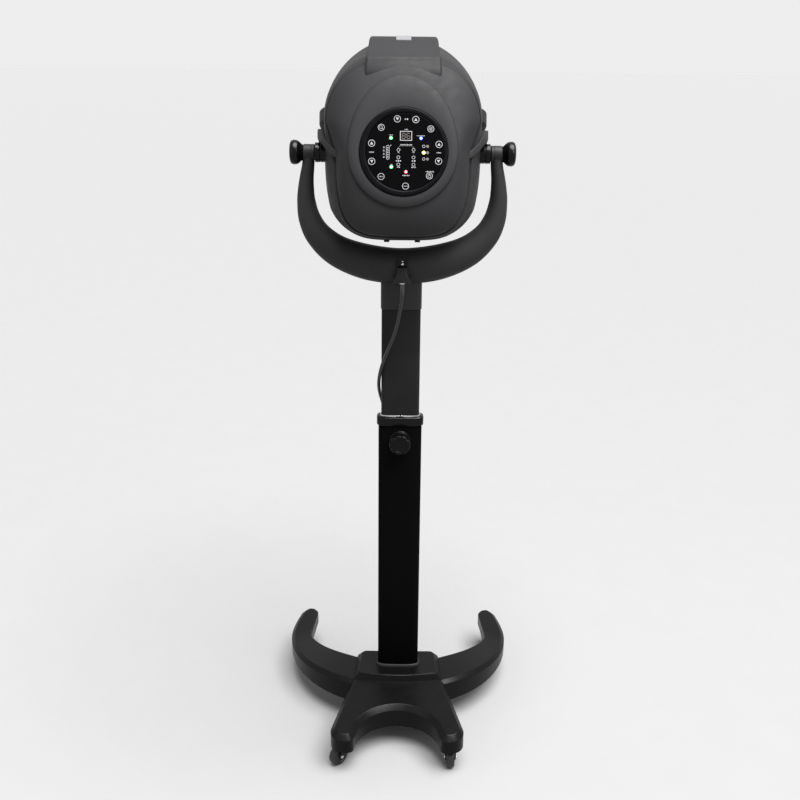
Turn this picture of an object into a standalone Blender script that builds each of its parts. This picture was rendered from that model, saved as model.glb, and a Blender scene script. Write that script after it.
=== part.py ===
"""Salon hood hair dryer: tilting hood in a U-shaped yoke, telescopic column, base on four swivel casters.

Metres, +Z up. The origin is on the floor, under the middle of the object's bounding box. The control panel
faces -Y, +X is to the right of someone who faces the panel, and the head opening faces down and towards +Y.
Lengths below are relative to the column's axis unless a comment says otherwise.
"""

import math

import bmesh
import bpy
import numpy as np
from mathutils import Matrix, Vector

# ---------------------------------------------------------------- driving dimensions
GAP = 0.0003  # between pieces that touch
COLUMN_Y = -0.0355  # the column stands in front of the middle of the base

WHEEL_RADIUS = 0.025
WHEEL_WIDTH = 0.018
CASTER_TRAIL = 0.017
CASTER_TOP = 0.0575
FRONT_STEM = (0.130, -0.206)
REAR_STEM = (0.2612, 0.2830)
CASTER_HEADINGS = (-135.0, -90.0, 80.0, 105.0)  # front left, front right, rear left, rear right

FRAME_BOLT = (0.080, -0.020)
BASE_UNDER = 0.058
BASE_FRONT = -0.256
COVER_TOP = 0.126
COVER_EDGE = 0.008  # bevel round the cover's top
LEG_SLOPE = 0.1105
LEG_START = -0.060
PLATFORM_TOP = 0.142
POCKET_ROOF = 0.094
ARCH_CENTRE = -0.257
ARCH_RADIUS = 0.1045

ARM_UNDER = 0.0600
ARM_OUTER_ARC = (0.2155, 0.2965)  # how far back the arc's centre lies, and its radius
ARM_INNER_ARC = (0.3026, 0.2605)
ARM_TAIL_RADIUS = 0.420
ARM_END = 0.3281
ARM_TOP_INNER = 0.122
ARM_TOP_OUTER = 0.098

OUTER_TUBE = (0.0512, 0.0195)  # an oval's half width and half depth
OUTER_BORE = (0.0482, 0.0165)
COLLAR = (0.0552, 0.0232)
INNER_TUBE = (0.0447, 0.0140, 0.0105)  # a rounded rectangle's half width, half depth and corner radius
INNER_BORE = (0.0420, 0.0113, 0.0078)
SLEEVE = (0.0466, 0.0160, 0.0124)
COLUMN_FOOT = 0.0668
COLUMN_TOP = 0.816
COLLAR_FOOT = 0.807
COLLAR_TOP = 0.8290
BUSH_TOP = 0.8340
INNER_TUBE_FOOT = 0.500
INNER_TUBE_HEAD = 1.150
SLEEVE_FOOT = 1.088
SLEEVE_HEAD = 1.172
LOCK_Z = 0.7715

PIVOT_Z = 1.4344
HUB_RADIUS = 0.0175
HUB_INNER = 0.1910
HUB_OUTER = 0.2192
YOKE_WALL = 0.003
# centreline of the yoke's right half: x, z and half thickness
YOKE_POINTS = (
    (0.0000, 1.1860, 0.0400),
    (0.0750, 1.1940, 0.0398),
    (0.1410, 1.2175, 0.0353),
    (0.1835, 1.2525, 0.0297),
    (0.2040, 1.2900, 0.0248),
    (0.2110, 1.3286, 0.0203),
    (0.2112, 1.3550, 0.0177),
    (0.2090, 1.3810, 0.0153),
    (0.2052, 1.4070, 0.0135),
    (0.2040, 1.4344, 0.0128),
)

HOOD_TILT = 20.0  # degrees that the panel faces upwards at rest
SHELL_WALL = 0.003
PANEL_Z = -0.0318  # panel centre below the pivot, in the hood's own frame
PANEL_Y = -0.156
BEZEL_RADIUS = 0.0915
GLASS_RADIUS = 0.0790
SEAM_Y = 0.022
# the head opening's plane in the hood's frame passes through the neck edge and the brow edge
NECK_EDGE = (-0.070, -0.1925)
BROW_EDGE = (0.203, 0.030)
BLOWER_Z = 0.020

CORD_RADIUS = 0.004
COIL_CENTRE = (0.0, 0.130)
COIL_INNER = 0.031
COIL_OUTER = 0.057
COIL_LOW = 0.0012
COIL_HIGH = 0.0177
TIE_WIDTH = 0.014
PLUG_PLACE = (0.0795, 0.1470, 0.0110)  # where the lead meets the plug's tail; the plug points to -Y
# centreline of the free cord from the gland to the top of the coil
CORD_ROUTE = (
    (0.0020, -0.0470, 1.1570),
    (0.0015, -0.0475, 1.1400),
    (0.0010, -0.0475, 1.1200),
    (-0.0020, -0.0460, 1.0980),
    (-0.0070, -0.0430, 1.0680),
    (-0.0170, -0.0380, 1.0300),
    (-0.0320, -0.0320, 0.9900),
    (-0.0450, -0.0240, 0.9540),
    (-0.0515, -0.0110, 0.9240),
    (-0.0530, 0.0040, 0.8990),
    (-0.0500, 0.0190, 0.8760),
    (-0.0420, 0.0300, 0.8480),
    (-0.0320, 0.0345, 0.8150),
    (-0.0240, 0.0340, 0.7600),
    (-0.0200, 0.0330, 0.6600),
    (-0.0180, 0.0330, 0.5400),
    (-0.0180, 0.0350, 0.4200),
    (-0.0190, 0.0410, 0.3000),
    (-0.0220, 0.0570, 0.2000),
    (-0.0270, 0.0740, 0.1400),
    (-0.0350, 0.0830, 0.0850),
    (-0.0420, 0.0930, 0.0470),
    (-0.0450, 0.1080, 0.0270),
)
# centreline of the lead from the coil's outside to the plug
LEAD_ROUTE = (
    (0.0240, 0.1875, 0.0056),
    (0.0420, 0.1860, 0.0056),
    (0.0590, 0.1810, 0.0058),
    (0.0720, 0.1690, 0.0070),
    (0.0785, 0.1590, 0.0095),
    (0.0795, 0.1530, 0.0110),
    (0.0795, 0.1475, 0.0110),
)


# ---------------------------------------------------------------- helpers
def clear_scene():
    for found in list(bpy.data.objects):
        bpy.data.objects.remove(found, do_unlink=True)


def material(name, colour, roughness, metallic=0.0):
    made = bpy.data.materials.new(name)
    made.use_nodes = True
    shader = made.node_tree.nodes["Principled BSDF"]
    shader.inputs["Base Color"].default_value = (*colour, 1.0)
    shader.inputs["Roughness"].default_value = roughness
    shader.inputs["Metallic"].default_value = metallic
    return made


def frame_empty(name, place, tilt_x=0.0, turn_z=0.0, parent=None):
    empty = bpy.data.objects.new(name, None)
    empty.location = place
    empty.rotation_euler = (math.radians(tilt_x), 0.0, math.radians(turn_z))
    empty.parent = parent
    bpy.context.collection.objects.link(empty)
    return empty


def add(name, mesh, look, parent, place=(0.0, 0.0, 0.0), rotation=(0.0, 0.0, 0.0)):
    made = bpy.data.objects.new(name, mesh)
    made.parent = parent
    made.location = place
    made.rotation_euler = rotation
    if look and not mesh.materials:
        mesh.materials.append(look)
    bpy.context.collection.objects.link(made)
    return made


def closed_mesh(name, bm):
    bmesh.ops.recalc_face_normals(bm, faces=bm.faces)
    mesh = bpy.data.meshes.new(name)
    bm.to_mesh(mesh)
    bm.free()
    mesh.shade_smooth()
    mesh.set_sharp_from_angle(angle=math.radians(35))
    return mesh


def loft(name, rings, loop=False):
    """A closed body through rings of points; loop joins the last ring to the first one."""
    bm = bmesh.new()
    rows = [[bm.verts.new(p) for p in ring] for ring in rings]
    count = len(rows[0])
    pairs = list(zip(rows[:-1], rows[1:]))
    if loop:
        pairs.append((rows[-1], rows[0]))
    for low, high in pairs:
        for i in range(count):
            j = (i + 1) % count
            bm.faces.new((low[i], low[j], high[j]))
            bm.faces.new((low[i], high[j], high[i]))
    if not loop:
        bm.faces.new(rows[0][::-1])
        bm.faces.new(rows[-1])
    return closed_mesh(name, bm)


def at_height(outline, z):
    return [(x, y, z) for x, y in outline]


def extruded(name, outline, low, high, bevel=0.0):
    rings = [at_height(outline, low), at_height(outline, high - bevel)]
    if bevel:
        rings.append(at_height(offset(outline, -bevel), high))
    return loft(name, rings)


def sleeve(name, outer, inner, low, high):
    """A tube with the given outlines, standing on its end."""
    rings = [at_height(outer, low), at_height(outer, high), at_height(inner, high), at_height(inner, low)]
    return loft(name, rings, loop=True)


def turned(name, profile, steps, loop=False):
    """A body turned round Z from (radius, height) points; loop is for a profile with a bore."""
    angles = [2 * math.pi * i / steps for i in range(steps)]
    rings = [[(r * math.cos(a), r * math.sin(a), z) for a in angles] for r, z in profile]
    return loft(name, rings, loop)


def circle(radius, steps, centre=(0.0, 0.0)):
    angles = [2 * math.pi * i / steps for i in range(steps)]
    return [(centre[0] + radius * math.cos(a), centre[1] + radius * math.sin(a)) for a in angles]


def rounded(corners, steps=4):
    """The outline through (x, y, radius) corners, each turned into an arc."""
    points = []
    for before, corner, after in zip(corners[-1:] + corners[:-1], corners, corners[1:] + corners[:1]):
        here = Vector(corner[:2])
        if not corner[2]:
            points.append(tuple(here))
            continue
        back = (Vector(before[:2]) - here).normalized()
        ahead = (Vector(after[:2]) - here).normalized()
        half = back.angle(ahead) / 2
        reach = corner[2] / math.tan(half)
        centre = here + (back + ahead).normalized() * corner[2] / math.sin(half)
        first, last = here + back * reach - centre, here + ahead * reach - centre
        turn = first.angle_signed(last)
        for i in range(steps + 1):
            points.append(tuple(centre + Matrix.Rotation(-turn * i / steps, 2) @ first))
    return points


def rounded_box(half_width, half_depth, radius, steps=3):
    signs = ((1, -1), (1, 1), (-1, 1), (-1, -1))
    return rounded([(sx * half_width, sy * half_depth, radius) for sx, sy in signs], steps)


def oval(half_width, half_depth, power=3.6, count=28):
    """A superellipse; a higher power gives it squarer corners."""
    points = []
    for i in range(count):
        a = 2 * math.pi * (i + 0.5) / count
        c, s = math.cos(a), math.sin(a)
        points.append((half_width * math.copysign(abs(c) ** (2 / power), c),
                       half_depth * math.copysign(abs(s) ** (2 / power), s)))
    return points


def grown(size, by, steps=3):
    """A tube's outline moved outwards: an oval of two sizes, or a rounded rectangle of three."""
    if len(size) == 2:
        return oval(size[0] + by, size[1] + by)
    half_width, half_depth, radius = size
    return rounded_box(half_width + by, half_depth + by, radius + by, steps)


def offset(outline, by):
    """An anticlockwise outline moved outwards by a distance, or inwards if it is negative."""
    points = [Vector(p) for p in outline]
    moved = []
    for before, here, after in zip(points[-1:] + points[:-1], points, points[1:] + points[:1]):
        a, b = (here - before).normalized(), (after - here).normalized()
        out = Vector((a.y + b.y, -a.x - b.x)).normalized()
        moved.append(tuple(here + out * by / max(0.5, out.dot(Vector((a.y, -a.x))))))
    return moved


def smooth_curve(points, count):
    """Evenly spaced points on a Catmull-Rom curve through the given ones."""
    keys = [np.array(p, float) for p in points]
    keys = [2 * keys[0] - keys[1], *keys, 2 * keys[-1] - keys[-2]]
    fine = []
    for a, b, c, d in zip(keys[:-3], keys[1:-2], keys[2:-1], keys[3:]):
        for t in np.linspace(0, 1, 24, endpoint=False):
            fine.append(0.5 * (2 * b + (c - a) * t + (2 * a - 5 * b + 4 * c - d) * t**2
                               + (3 * b - a - 3 * c + d) * t**3))
    fine = np.array([*fine, keys[-2]])
    run = np.concatenate([[0], np.cumsum(np.linalg.norm(np.diff(fine, axis=0), axis=1))])
    return np.array([np.interp(np.linspace(0, run[-1], count), run, column) for column in fine.T]).T


def use_boolean(target, tool, operation="DIFFERENCE"):
    step = target.modifiers.new(operation.title(), "BOOLEAN")
    step.operation = operation
    step.solver = "EXACT"
    step.object = tool


def cutter(name, mesh, parent, place=(0.0, 0.0, 0.0), rotation=(0.0, 0.0, 0.0)):
    made = add(name, mesh, None, parent, place, rotation)
    made.hide_render = True
    made.display_type = "WIRE"
    return made


def joined(name, meshes):
    """One mesh of several separate bodies."""
    bm = bmesh.new()
    for mesh, matrix in meshes:
        mesh.transform(matrix)
        bm.from_mesh(mesh)
    return closed_mesh(name, bm)


def applied(target):
    """The target's mesh with its modifiers applied, for pieces that share a mesh."""
    graph = bpy.context.evaluated_depsgraph_get()
    mesh = bpy.data.meshes.new_from_object(target.evaluated_get(graph))
    bpy.data.objects.remove(target)
    return mesh


ALONG_BACK = Matrix.Rotation(math.radians(90), 4, "X")  # turns +Z to -Y


# ---------------------------------------------------------------- materials
def make_materials():
    return {
        "shell": material("shell_plastic", (0.045, 0.045, 0.048), 0.55),
        "yoke": material("yoke_plastic", (0.028, 0.028, 0.030), 0.55),
        "gloss": material("gloss_plastic", (0.012, 0.012, 0.013), 0.2),
        "tube": material("tube_paint", (0.020, 0.020, 0.022), 0.5, 0.2),
        "cover": material("cover_plastic", (0.018, 0.018, 0.019), 0.5),
        "glass": material("panel_glass", (0.006, 0.006, 0.008), 0.08),
        "bezel": material("bezel_plastic", (0.020, 0.023, 0.030), 0.3),
        "board": material("circuit_board", (0.02, 0.16, 0.07), 0.5),
        "liner": material("liner_plastic", (0.10, 0.10, 0.105), 0.5),
        "rubber": material("soft_rubber", (0.015, 0.015, 0.015), 0.8),
        "steel": material("bright_steel", (0.60, 0.60, 0.62), 0.3, 1.0),
        "iron": material("cast_iron", (0.09, 0.09, 0.095), 0.7, 0.8),
        "coil": material("heater_wire", (0.45, 0.38, 0.33), 0.45, 1.0),
        "cord": material("cord_sheath", (0.012, 0.012, 0.012), 0.55),
        "grille": material("grille_plastic", (0.03, 0.03, 0.032), 0.5),
    }


# ---------------------------------------------------------------- casters
def caster_meshes():
    """Fork with stem, wheel and axle, swivelling about Z; the axle lies along Y, ahead of the stem on +X."""
    axle_at = Matrix.Translation((CASTER_TRAIL, 0, WHEEL_RADIUS)) @ ALONG_BACK
    half = WHEEL_WIDTH / 2
    wheel = turned("caster_wheel", (
        (0.0036, -half), (0.016, -half), (0.0175, -half + 0.002), (WHEEL_RADIUS - 0.003, -half),
        (WHEEL_RADIUS, -half + 0.004), (WHEEL_RADIUS, half - 0.004), (WHEEL_RADIUS - 0.003, half),
        (0.0175, half - 0.002), (0.016, half), (0.0036, half)), 18, loop=True)
    axle = turned("caster_axle", ((0.0030, -half - 0.0045), (0.0030, half + 0.0045)), 8)
    wheel.transform(axle_at)
    axle.transform(axle_at)

    top = turned("fork_top", (
        (0.017, CASTER_TOP - 0.0048), (0.017, CASTER_TOP - 0.001), (0.016, CASTER_TOP),
        (0.005, CASTER_TOP), (0.005, CASTER_TOP + 0.026)), 12)
    cheek = [(-0.010, 0.053, 0.002), (0.012, 0.053, 0.003), (CASTER_TRAIL + 0.007, WHEEL_RADIUS, 0.004),
             (CASTER_TRAIL + 0.003, WHEEL_RADIUS - 0.007, 0.004),
             (CASTER_TRAIL - 0.006, WHEEL_RADIUS - 0.005, 0.004)]
    cheek = rounded(cheek[::-1], 1)
    fork = add("fork", top, None, None)
    for side in (-1, 1):
        inner, outer = side * (half + 0.0012), side * (half + 0.0038)
        rings = [[(x, inner, z) for x, z in cheek], [(x, outer, z) for x, z in cheek]]
        plate = cutter(f"cheek_{side}", loft("cheek", rings), None)
        use_boolean(fork, plate, "UNION")
    outline = rounded_box(0.010, half + 0.0038, 0.002, 1)
    bridge = extruded("bridge", outline, 0.0505 + GAP, CASTER_TOP - 0.003)
    pin = turned("pin", ((0.0035, -half - 0.01), (0.0035, half + 0.01)), 8)
    pin.transform(axle_at)
    use_boolean(fork, cutter("fork_bridge", bridge, None), "UNION")
    use_boolean(fork, cutter("fork_pin", pin, None))
    return applied(fork), wheel, axle


def build_casters(look, column):
    fork, wheel, axle = caster_meshes()
    fork.materials.clear()
    for mesh, finish in ((fork, look["gloss"]), (wheel, look["rubber"]), (axle, look["steel"])):
        mesh.materials.append(finish)
    places = (
        ("front_left", -FRONT_STEM[0], FRONT_STEM[1]), ("front_right", *FRONT_STEM),
        ("rear_left", -REAR_STEM[0], REAR_STEM[1]), ("rear_right", *REAR_STEM))
    for (label, x, y), heading in zip(places, CASTER_HEADINGS):
        swivel = frame_empty(f"swivel_{label}", (x, y, 0.0), turn_z=heading, parent=column)
        for kind, mesh in (("fork", fork), ("wheel", wheel), ("axle", axle)):
            add(f"caster_{kind}_{label}", mesh, None, swivel)


def stem_places():
    return [(sx * x, y) for x, y in (FRONT_STEM, REAR_STEM) for sx in (-1, 1)]


# ---------------------------------------------------------------- base
def cover_outline():
    right = [(0.1050, BASE_FRONT, 0.010), (0.1700, BASE_FRONT, 0.022),
             (0.1180, -0.052, 0.030), (0.1010, 0.064, 0.018)]
    left = [(-x, y, r) for x, y, r in reversed(right)]
    angles = [math.radians(a) for a in range(165, 14, -15)]
    arch = [(ARCH_RADIUS * math.cos(a), ARCH_CENTRE + ARCH_RADIUS * math.sin(a), 0.0) for a in angles]
    return rounded(right + left + arch, 3)


def arm_edges():
    """Pairs of points on the right arm's outer and inner edges, from its root to its rounded end."""
    outer_y, outer_radius = ARM_OUTER_ARC
    inner_y, inner_radius = ARM_INNER_ARC
    join = math.asin((inner_y - outer_y) / inner_radius)  # where the inner edge meets the straight part
    pairs = []
    for share in np.linspace(0.0, 1.0, 10):
        a = -math.radians(73) * (1 - share)
        b = -join - (math.radians(71) - join) * (1 - share)
        pairs.append(((outer_radius * math.cos(a), outer_y + outer_radius * math.sin(a)),
                      (inner_radius * math.cos(b), inner_y + inner_radius * math.sin(b))))
    (outer_x, _), (inner_x, _) = pairs[-1]
    middle, half = (outer_x + inner_x) / 2, (outer_x - inner_x) / 2
    reach = ARM_END - outer_y
    for share in (0.3, 0.55, 0.78, 0.92, 0.99):
        y = outer_y + reach * share
        x = middle - ARM_TAIL_RADIUS + math.sqrt(ARM_TAIL_RADIUS**2 - (reach * share) ** 2)
        past = max(0.0, y - (ARM_END - half)) / half
        wide = half * math.sqrt(1.0 - past**2)
        pairs.append(((x + wide, y), (x - wide, y)))
    return pairs


def arm_mesh():
    pairs = arm_edges()
    rings = []
    for i, (outer, inner) in enumerate(pairs):
        outer, inner = Vector(outer), Vector(inner)
        top = ARM_TOP_INNER + (ARM_TOP_OUTER - ARM_TOP_INNER) * min(1.0, i / (len(pairs) - 6))
        width = (outer - inner).length
        edge, foot = min(0.008, width * 0.3), min(0.002, width * 0.1)
        section = ((foot, ARM_UNDER), (width - foot, ARM_UNDER), (width, ARM_UNDER + 0.004),
                   (width, top - edge), (width - edge, top), (edge, top), (0.0, top - edge),
                   (0.0, ARM_UNDER + 0.004))
        rings.append([(*inner.lerp(outer, across / width), z) for across, z in section])
    return loft("base_arm", rings)


def mirrored(mesh):
    copy = mesh.copy()
    copy.transform(Matrix.Scale(-1, 4, (1, 0, 0)))
    copy.flip_normals()
    return copy


def cylinders(name, places, radius, low, high, steps=12):
    parts = [(extruded("post", circle(radius, steps), low, high), Matrix.Translation((x, y, 0)))
             for x, y in places]
    return joined(name, parts)


def build_base(look, column):
    outline = cover_outline()
    frame_bolts = [(sx * FRAME_BOLT[0], FRAME_BOLT[1]) for sx in (-1, 1)]
    foot_bolts = [(sx * 0.0500, sy * 0.0290) for sx in (-1, 1) for sy in (-1, 1)]

    # cover: bevelled outline, legs that slope down, raised platform, pocket below
    bm = bmesh.new()
    bm.from_mesh(extruded("flat", outline, BASE_UNDER, COVER_TOP, COVER_EDGE))
    bmesh.ops.bisect_plane(bm, geom=bm.verts[:] + bm.edges[:] + bm.faces[:], dist=1e-6,
                           plane_co=(0, LEG_START, 0), plane_no=(0, 1, 0))
    for v in bm.verts:
        if v.co.z > BASE_UNDER + 0.01:
            v.co.z -= LEG_SLOPE * max(0.0, LEG_START - v.co.y)
    cover = add("base_cover", closed_mesh("base_cover", bm), look["cover"], column)
    crown = [(-0.087, 0.052, 0.012), (-0.107, -0.047, 0.012), (0.107, -0.047, 0.012), (0.087, 0.052, 0.012)]
    crown = rounded(crown, 3)
    drop = PLATFORM_TOP - COVER_TOP + 0.004
    rings = [at_height(offset(crown, drop * 0.8), COVER_TOP - 0.004), at_height(crown, PLATFORM_TOP)]
    use_boolean(cover, cutter("crown_tool", loft("crown", rings), column), "UNION")
    pocket = extruded("pocket", offset(outline, -0.005), BASE_UNDER - 0.01, POCKET_ROOF)
    use_boolean(cover, cutter("pocket_tool", pocket, column))
    hole = extruded("column_hole", grown(OUTER_TUBE, 0.0005), 0.05, 0.16)
    use_boolean(cover, cutter("column_hole_tool", hole, column))

    # arms: curved castings, each with a tongue that passes through the cover's side
    trim = extruded("trim", offset(outline, GAP), 0.04, 0.15)
    trim_tool = cutter("trim_tool", trim, column)
    stems = cutter("stem_tool", cylinders("stems", stem_places(), 0.0054, 0.04, 0.0870), column)
    bolt_tool = cutter("bolt_tool", cylinders("bolts", frame_bolts, 0.0034, 0.05, 0.0800), column)
    across = rounded_box(0.026, 0.0154, 0.002, 1)
    slots = joined("slots", [
        (extruded("slot", across, 0.0664, 0.0844), Matrix.Translation((x, FRAME_BOLT[1], 0)))
        for x in (-0.114, 0.114)])
    use_boolean(cover, cutter("slot_tool", slots, column))
    tongue = extruded("tongue", rounded_box(0.030, 0.0150, 0.002, 1), 0.0668, 0.0840)
    tongue.transform(Matrix.Translation((0.099, FRAME_BOLT[1], 0)))
    right = arm_mesh()
    for label, mesh, key in (("right", right, tongue), ("left", mirrored(right), mirrored(tongue))):
        arm = add(f"base_arm_{label}", mesh, look["cover"], column)
        use_boolean(arm, trim_tool)
        use_boolean(arm, cutter(f"tongue_tool_{label}", key, column), "UNION")
        use_boolean(arm, stems)
        use_boolean(arm, bolt_tool)

    # steel frame: centre plate, leg bars and caster sockets
    plate = extruded("base_frame", rounded_box(0.090, 0.055, 0.008, 2), 0.0585, 0.0665)
    plate.transform(Matrix.Translation((0.0, -0.008, 0.0)))
    frame = add("base_frame", plate, look["tube"], column)
    for label, sx in (("right", 1), ("left", -1)):
        start, end = Vector((sx * 0.070, -0.045)), Vector((sx * FRONT_STEM[0], FRONT_STEM[1]))
        way = (end - start).normalized() * 0.001
        side = Vector((way.y, -way.x)) * 14
        bar = [tuple(start + side), tuple(end + side), tuple(end - side), tuple(start - side)]
        bar_mesh = extruded("bar", bar, 0.0585, 0.0660)
        use_boolean(frame, cutter(f"bar_tool_{label}", bar_mesh, column), "UNION")
    sockets = [(sx * FRONT_STEM[0], FRONT_STEM[1]) for sx in (-1, 1)]
    socket_mesh = cylinders("socket", sockets, 0.0150, 0.0585, 0.0850)
    use_boolean(frame, cutter("socket_tool", socket_mesh, column), "UNION")
    use_boolean(frame, stems)
    use_boolean(frame, bolt_tool)
    foot_tool = cutter("foot_bolt_tool", cylinders("foot_bolts", foot_bolts, 0.0029, 0.05, 0.0780), column)
    use_boolean(frame, foot_tool)

    ballast = rounded([(-0.050, -0.118, 0.012), (0.050, -0.118, 0.012), (0.050, 0.048, 0.012),
                       (-0.050, 0.048, 0.012)], 3)
    add("ballast_plate", extruded("ballast", ballast, 0.0400, 0.0582), look["iron"], column)
    for label, sx in (("left", -1), ("right", 1)):
        bolt = turned("base_bolt", (
            (0.0055, 0.0540), (0.0055, 0.0582), (0.0030, 0.0582), (0.0030, 0.0790)), 12)
        add(f"base_bolt_{label}", bolt, look["steel"], column, (sx * FRAME_BOLT[0], FRAME_BOLT[1], 0.0))
    return foot_tool


def build_column(look, column, foot_tool):
    tube = add("outer_column", sleeve("outer_column", grown(OUTER_TUBE, 0), grown(OUTER_BORE, 0), COLUMN_FOOT,
                                      COLUMN_TOP), look["tube"], column)
    flange = sleeve("flange", oval(0.0620, 0.0370, 8.0), grown(OUTER_BORE, 0.001), COLUMN_FOOT,
                    COLUMN_FOOT + 0.006)
    use_boolean(tube, cutter("flange_tool", flange, column), "UNION")
    use_boolean(tube, foot_tool)
    add("column_trim", sleeve("column_trim", grown(OUTER_TUBE, 0.0045), grown(OUTER_TUBE, 0.0004),
                              PLATFORM_TOP + GAP, PLATFORM_TOP + 0.007), look["rubber"], column)

    # collar: a cap on the column's end, with a skirt over its outside and bevelled edges
    outline = ((-0.0015, COLLAR_FOOT), (0.0, COLLAR_FOOT + 0.0015), (0.0, COLLAR_TOP - 0.003),
               (-0.003, COLLAR_TOP))
    rings = [at_height(grown(COLLAR, by), z) for by, z in outline]
    rings += [at_height(grown(OUTER_BORE, 0), z) for z in (COLLAR_TOP, COLUMN_TOP + GAP)]
    rings += [at_height(grown(OUTER_TUBE, GAP), z) for z in (COLUMN_TOP + GAP, COLLAR_FOOT)]
    add("column_collar", loft("column_collar", rings, loop=True), look["gloss"], column)

    # guide bush: a thin-walled sleeve, split at the middle of its front
    bush_mesh = extruded("guide_bush", grown(OUTER_BORE, -GAP), 0.7400, BUSH_TOP)
    bush = add("guide_bush", bush_mesh, look["steel"], column)
    room = extruded("bush_room", grown(INNER_TUBE, 0.0004, 4), 0.73, 0.86)
    use_boolean(bush, cutter("bush_room_tool", room, column))
    split = extruded("split", rounded_box(0.001, 0.006, 0.0002, 1), 0.73, 0.86)
    use_boolean(bush, cutter("split_tool", split, column, (0.0, -0.0185, 0.0)))

    # lock: boss on the column, hand knob with its screw through boss, column and bush
    front = -OUTER_TUBE[1]
    boss = turned("lock_boss", ((0.0052, 0.0), (0.0245, 0.0), (0.0245, 0.008), (0.0225, 0.010),
                                (0.0052, 0.010)), 32, loop=True)
    boss.transform(ALONG_BACK)
    add("lock_boss", boss, look["gloss"], column, (0.0, front - GAP, LOCK_Z))
    screw_hole = turned("screw_hole", ((0.0052, -0.03), (0.0052, 0.03)), 16)
    screw_hole.transform(ALONG_BACK)
    screw_tool = cutter("screw_tool", screw_hole, column, (0.0, front, LOCK_Z))
    use_boolean(tube, screw_tool)
    use_boolean(bush, screw_tool)

    lobes = 9
    angles = [2 * math.pi * i / (lobes * 4) for i in range(lobes * 4)]

    def lobed(radius, z):
        return [((radius + 0.0012 * math.cos(lobes * a)) * math.cos(a),
                 (radius + 0.0012 * math.cos(lobes * a)) * math.sin(a), z) for a in angles]

    def plain(radius, z):
        return [(radius * math.cos(a), radius * math.sin(a), z) for a in angles]

    knob = loft("lock_knob", [plain(0.0045, -0.0048), plain(0.0045, 0.0105), plain(0.014, 0.0105),
                              plain(0.014, 0.015), lobed(0.0230, 0.017), lobed(0.0243, 0.020),
                              lobed(0.0243, 0.034), lobed(0.0225, 0.0365), plain(0.013, 0.0365),
                              plain(0.012, 0.0355)])
    knob.transform(ALONG_BACK)
    add("lock_knob", knob, look["gloss"], column, (0.0, front, LOCK_Z))
    glide = add("tube_glide", extruded("tube_glide", grown(OUTER_BORE, -0.0004), INNER_TUBE_FOOT - 0.012,
                                       INNER_TUBE_FOOT - GAP), look["grille"], column)
    hole = extruded("glide_hole", rounded_box(0.034, 0.006, 0.003, 2), 0.48, 0.51)
    use_boolean(glide, cutter("glide_hole_tool", hole, column))


# ---------------------------------------------------------------- mast
def yoke_stations(count=21):
    points = smooth_curve([(-x, z, t) for x, z, t in reversed(YOKE_POINTS[1:])] + list(YOKE_POINTS), count)
    ways = np.gradient(points[:, :2], axis=0)
    return points, ways / np.linalg.norm(ways, axis=1)[:, None]


def yoke_half(side, steps=6):
    """A C-section shell along the yoke; side is -1 for the half that faces the panel's side."""
    points, ways = yoke_stations()
    rings = []
    for (x, z, thick), (wx, wz) in zip(points, ways):
        deep = 0.8 * thick + 0.004
        across = Vector((-wz, 0.0, wx))
        ring = []
        for shrink, angles in ((0.0, np.linspace(-90, 90, steps)), (YOKE_WALL, np.linspace(90, -90, steps))):
            for a in np.radians(angles):
                rise = (thick - shrink) * math.sin(a)
                out = max((deep - shrink) * math.cos(a), 0.0) + GAP / 2
                ring.append(tuple(Vector((x, side * out, z)) + across * rise))
        rings.append(ring)
    return loft("yoke_half", rings)


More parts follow.
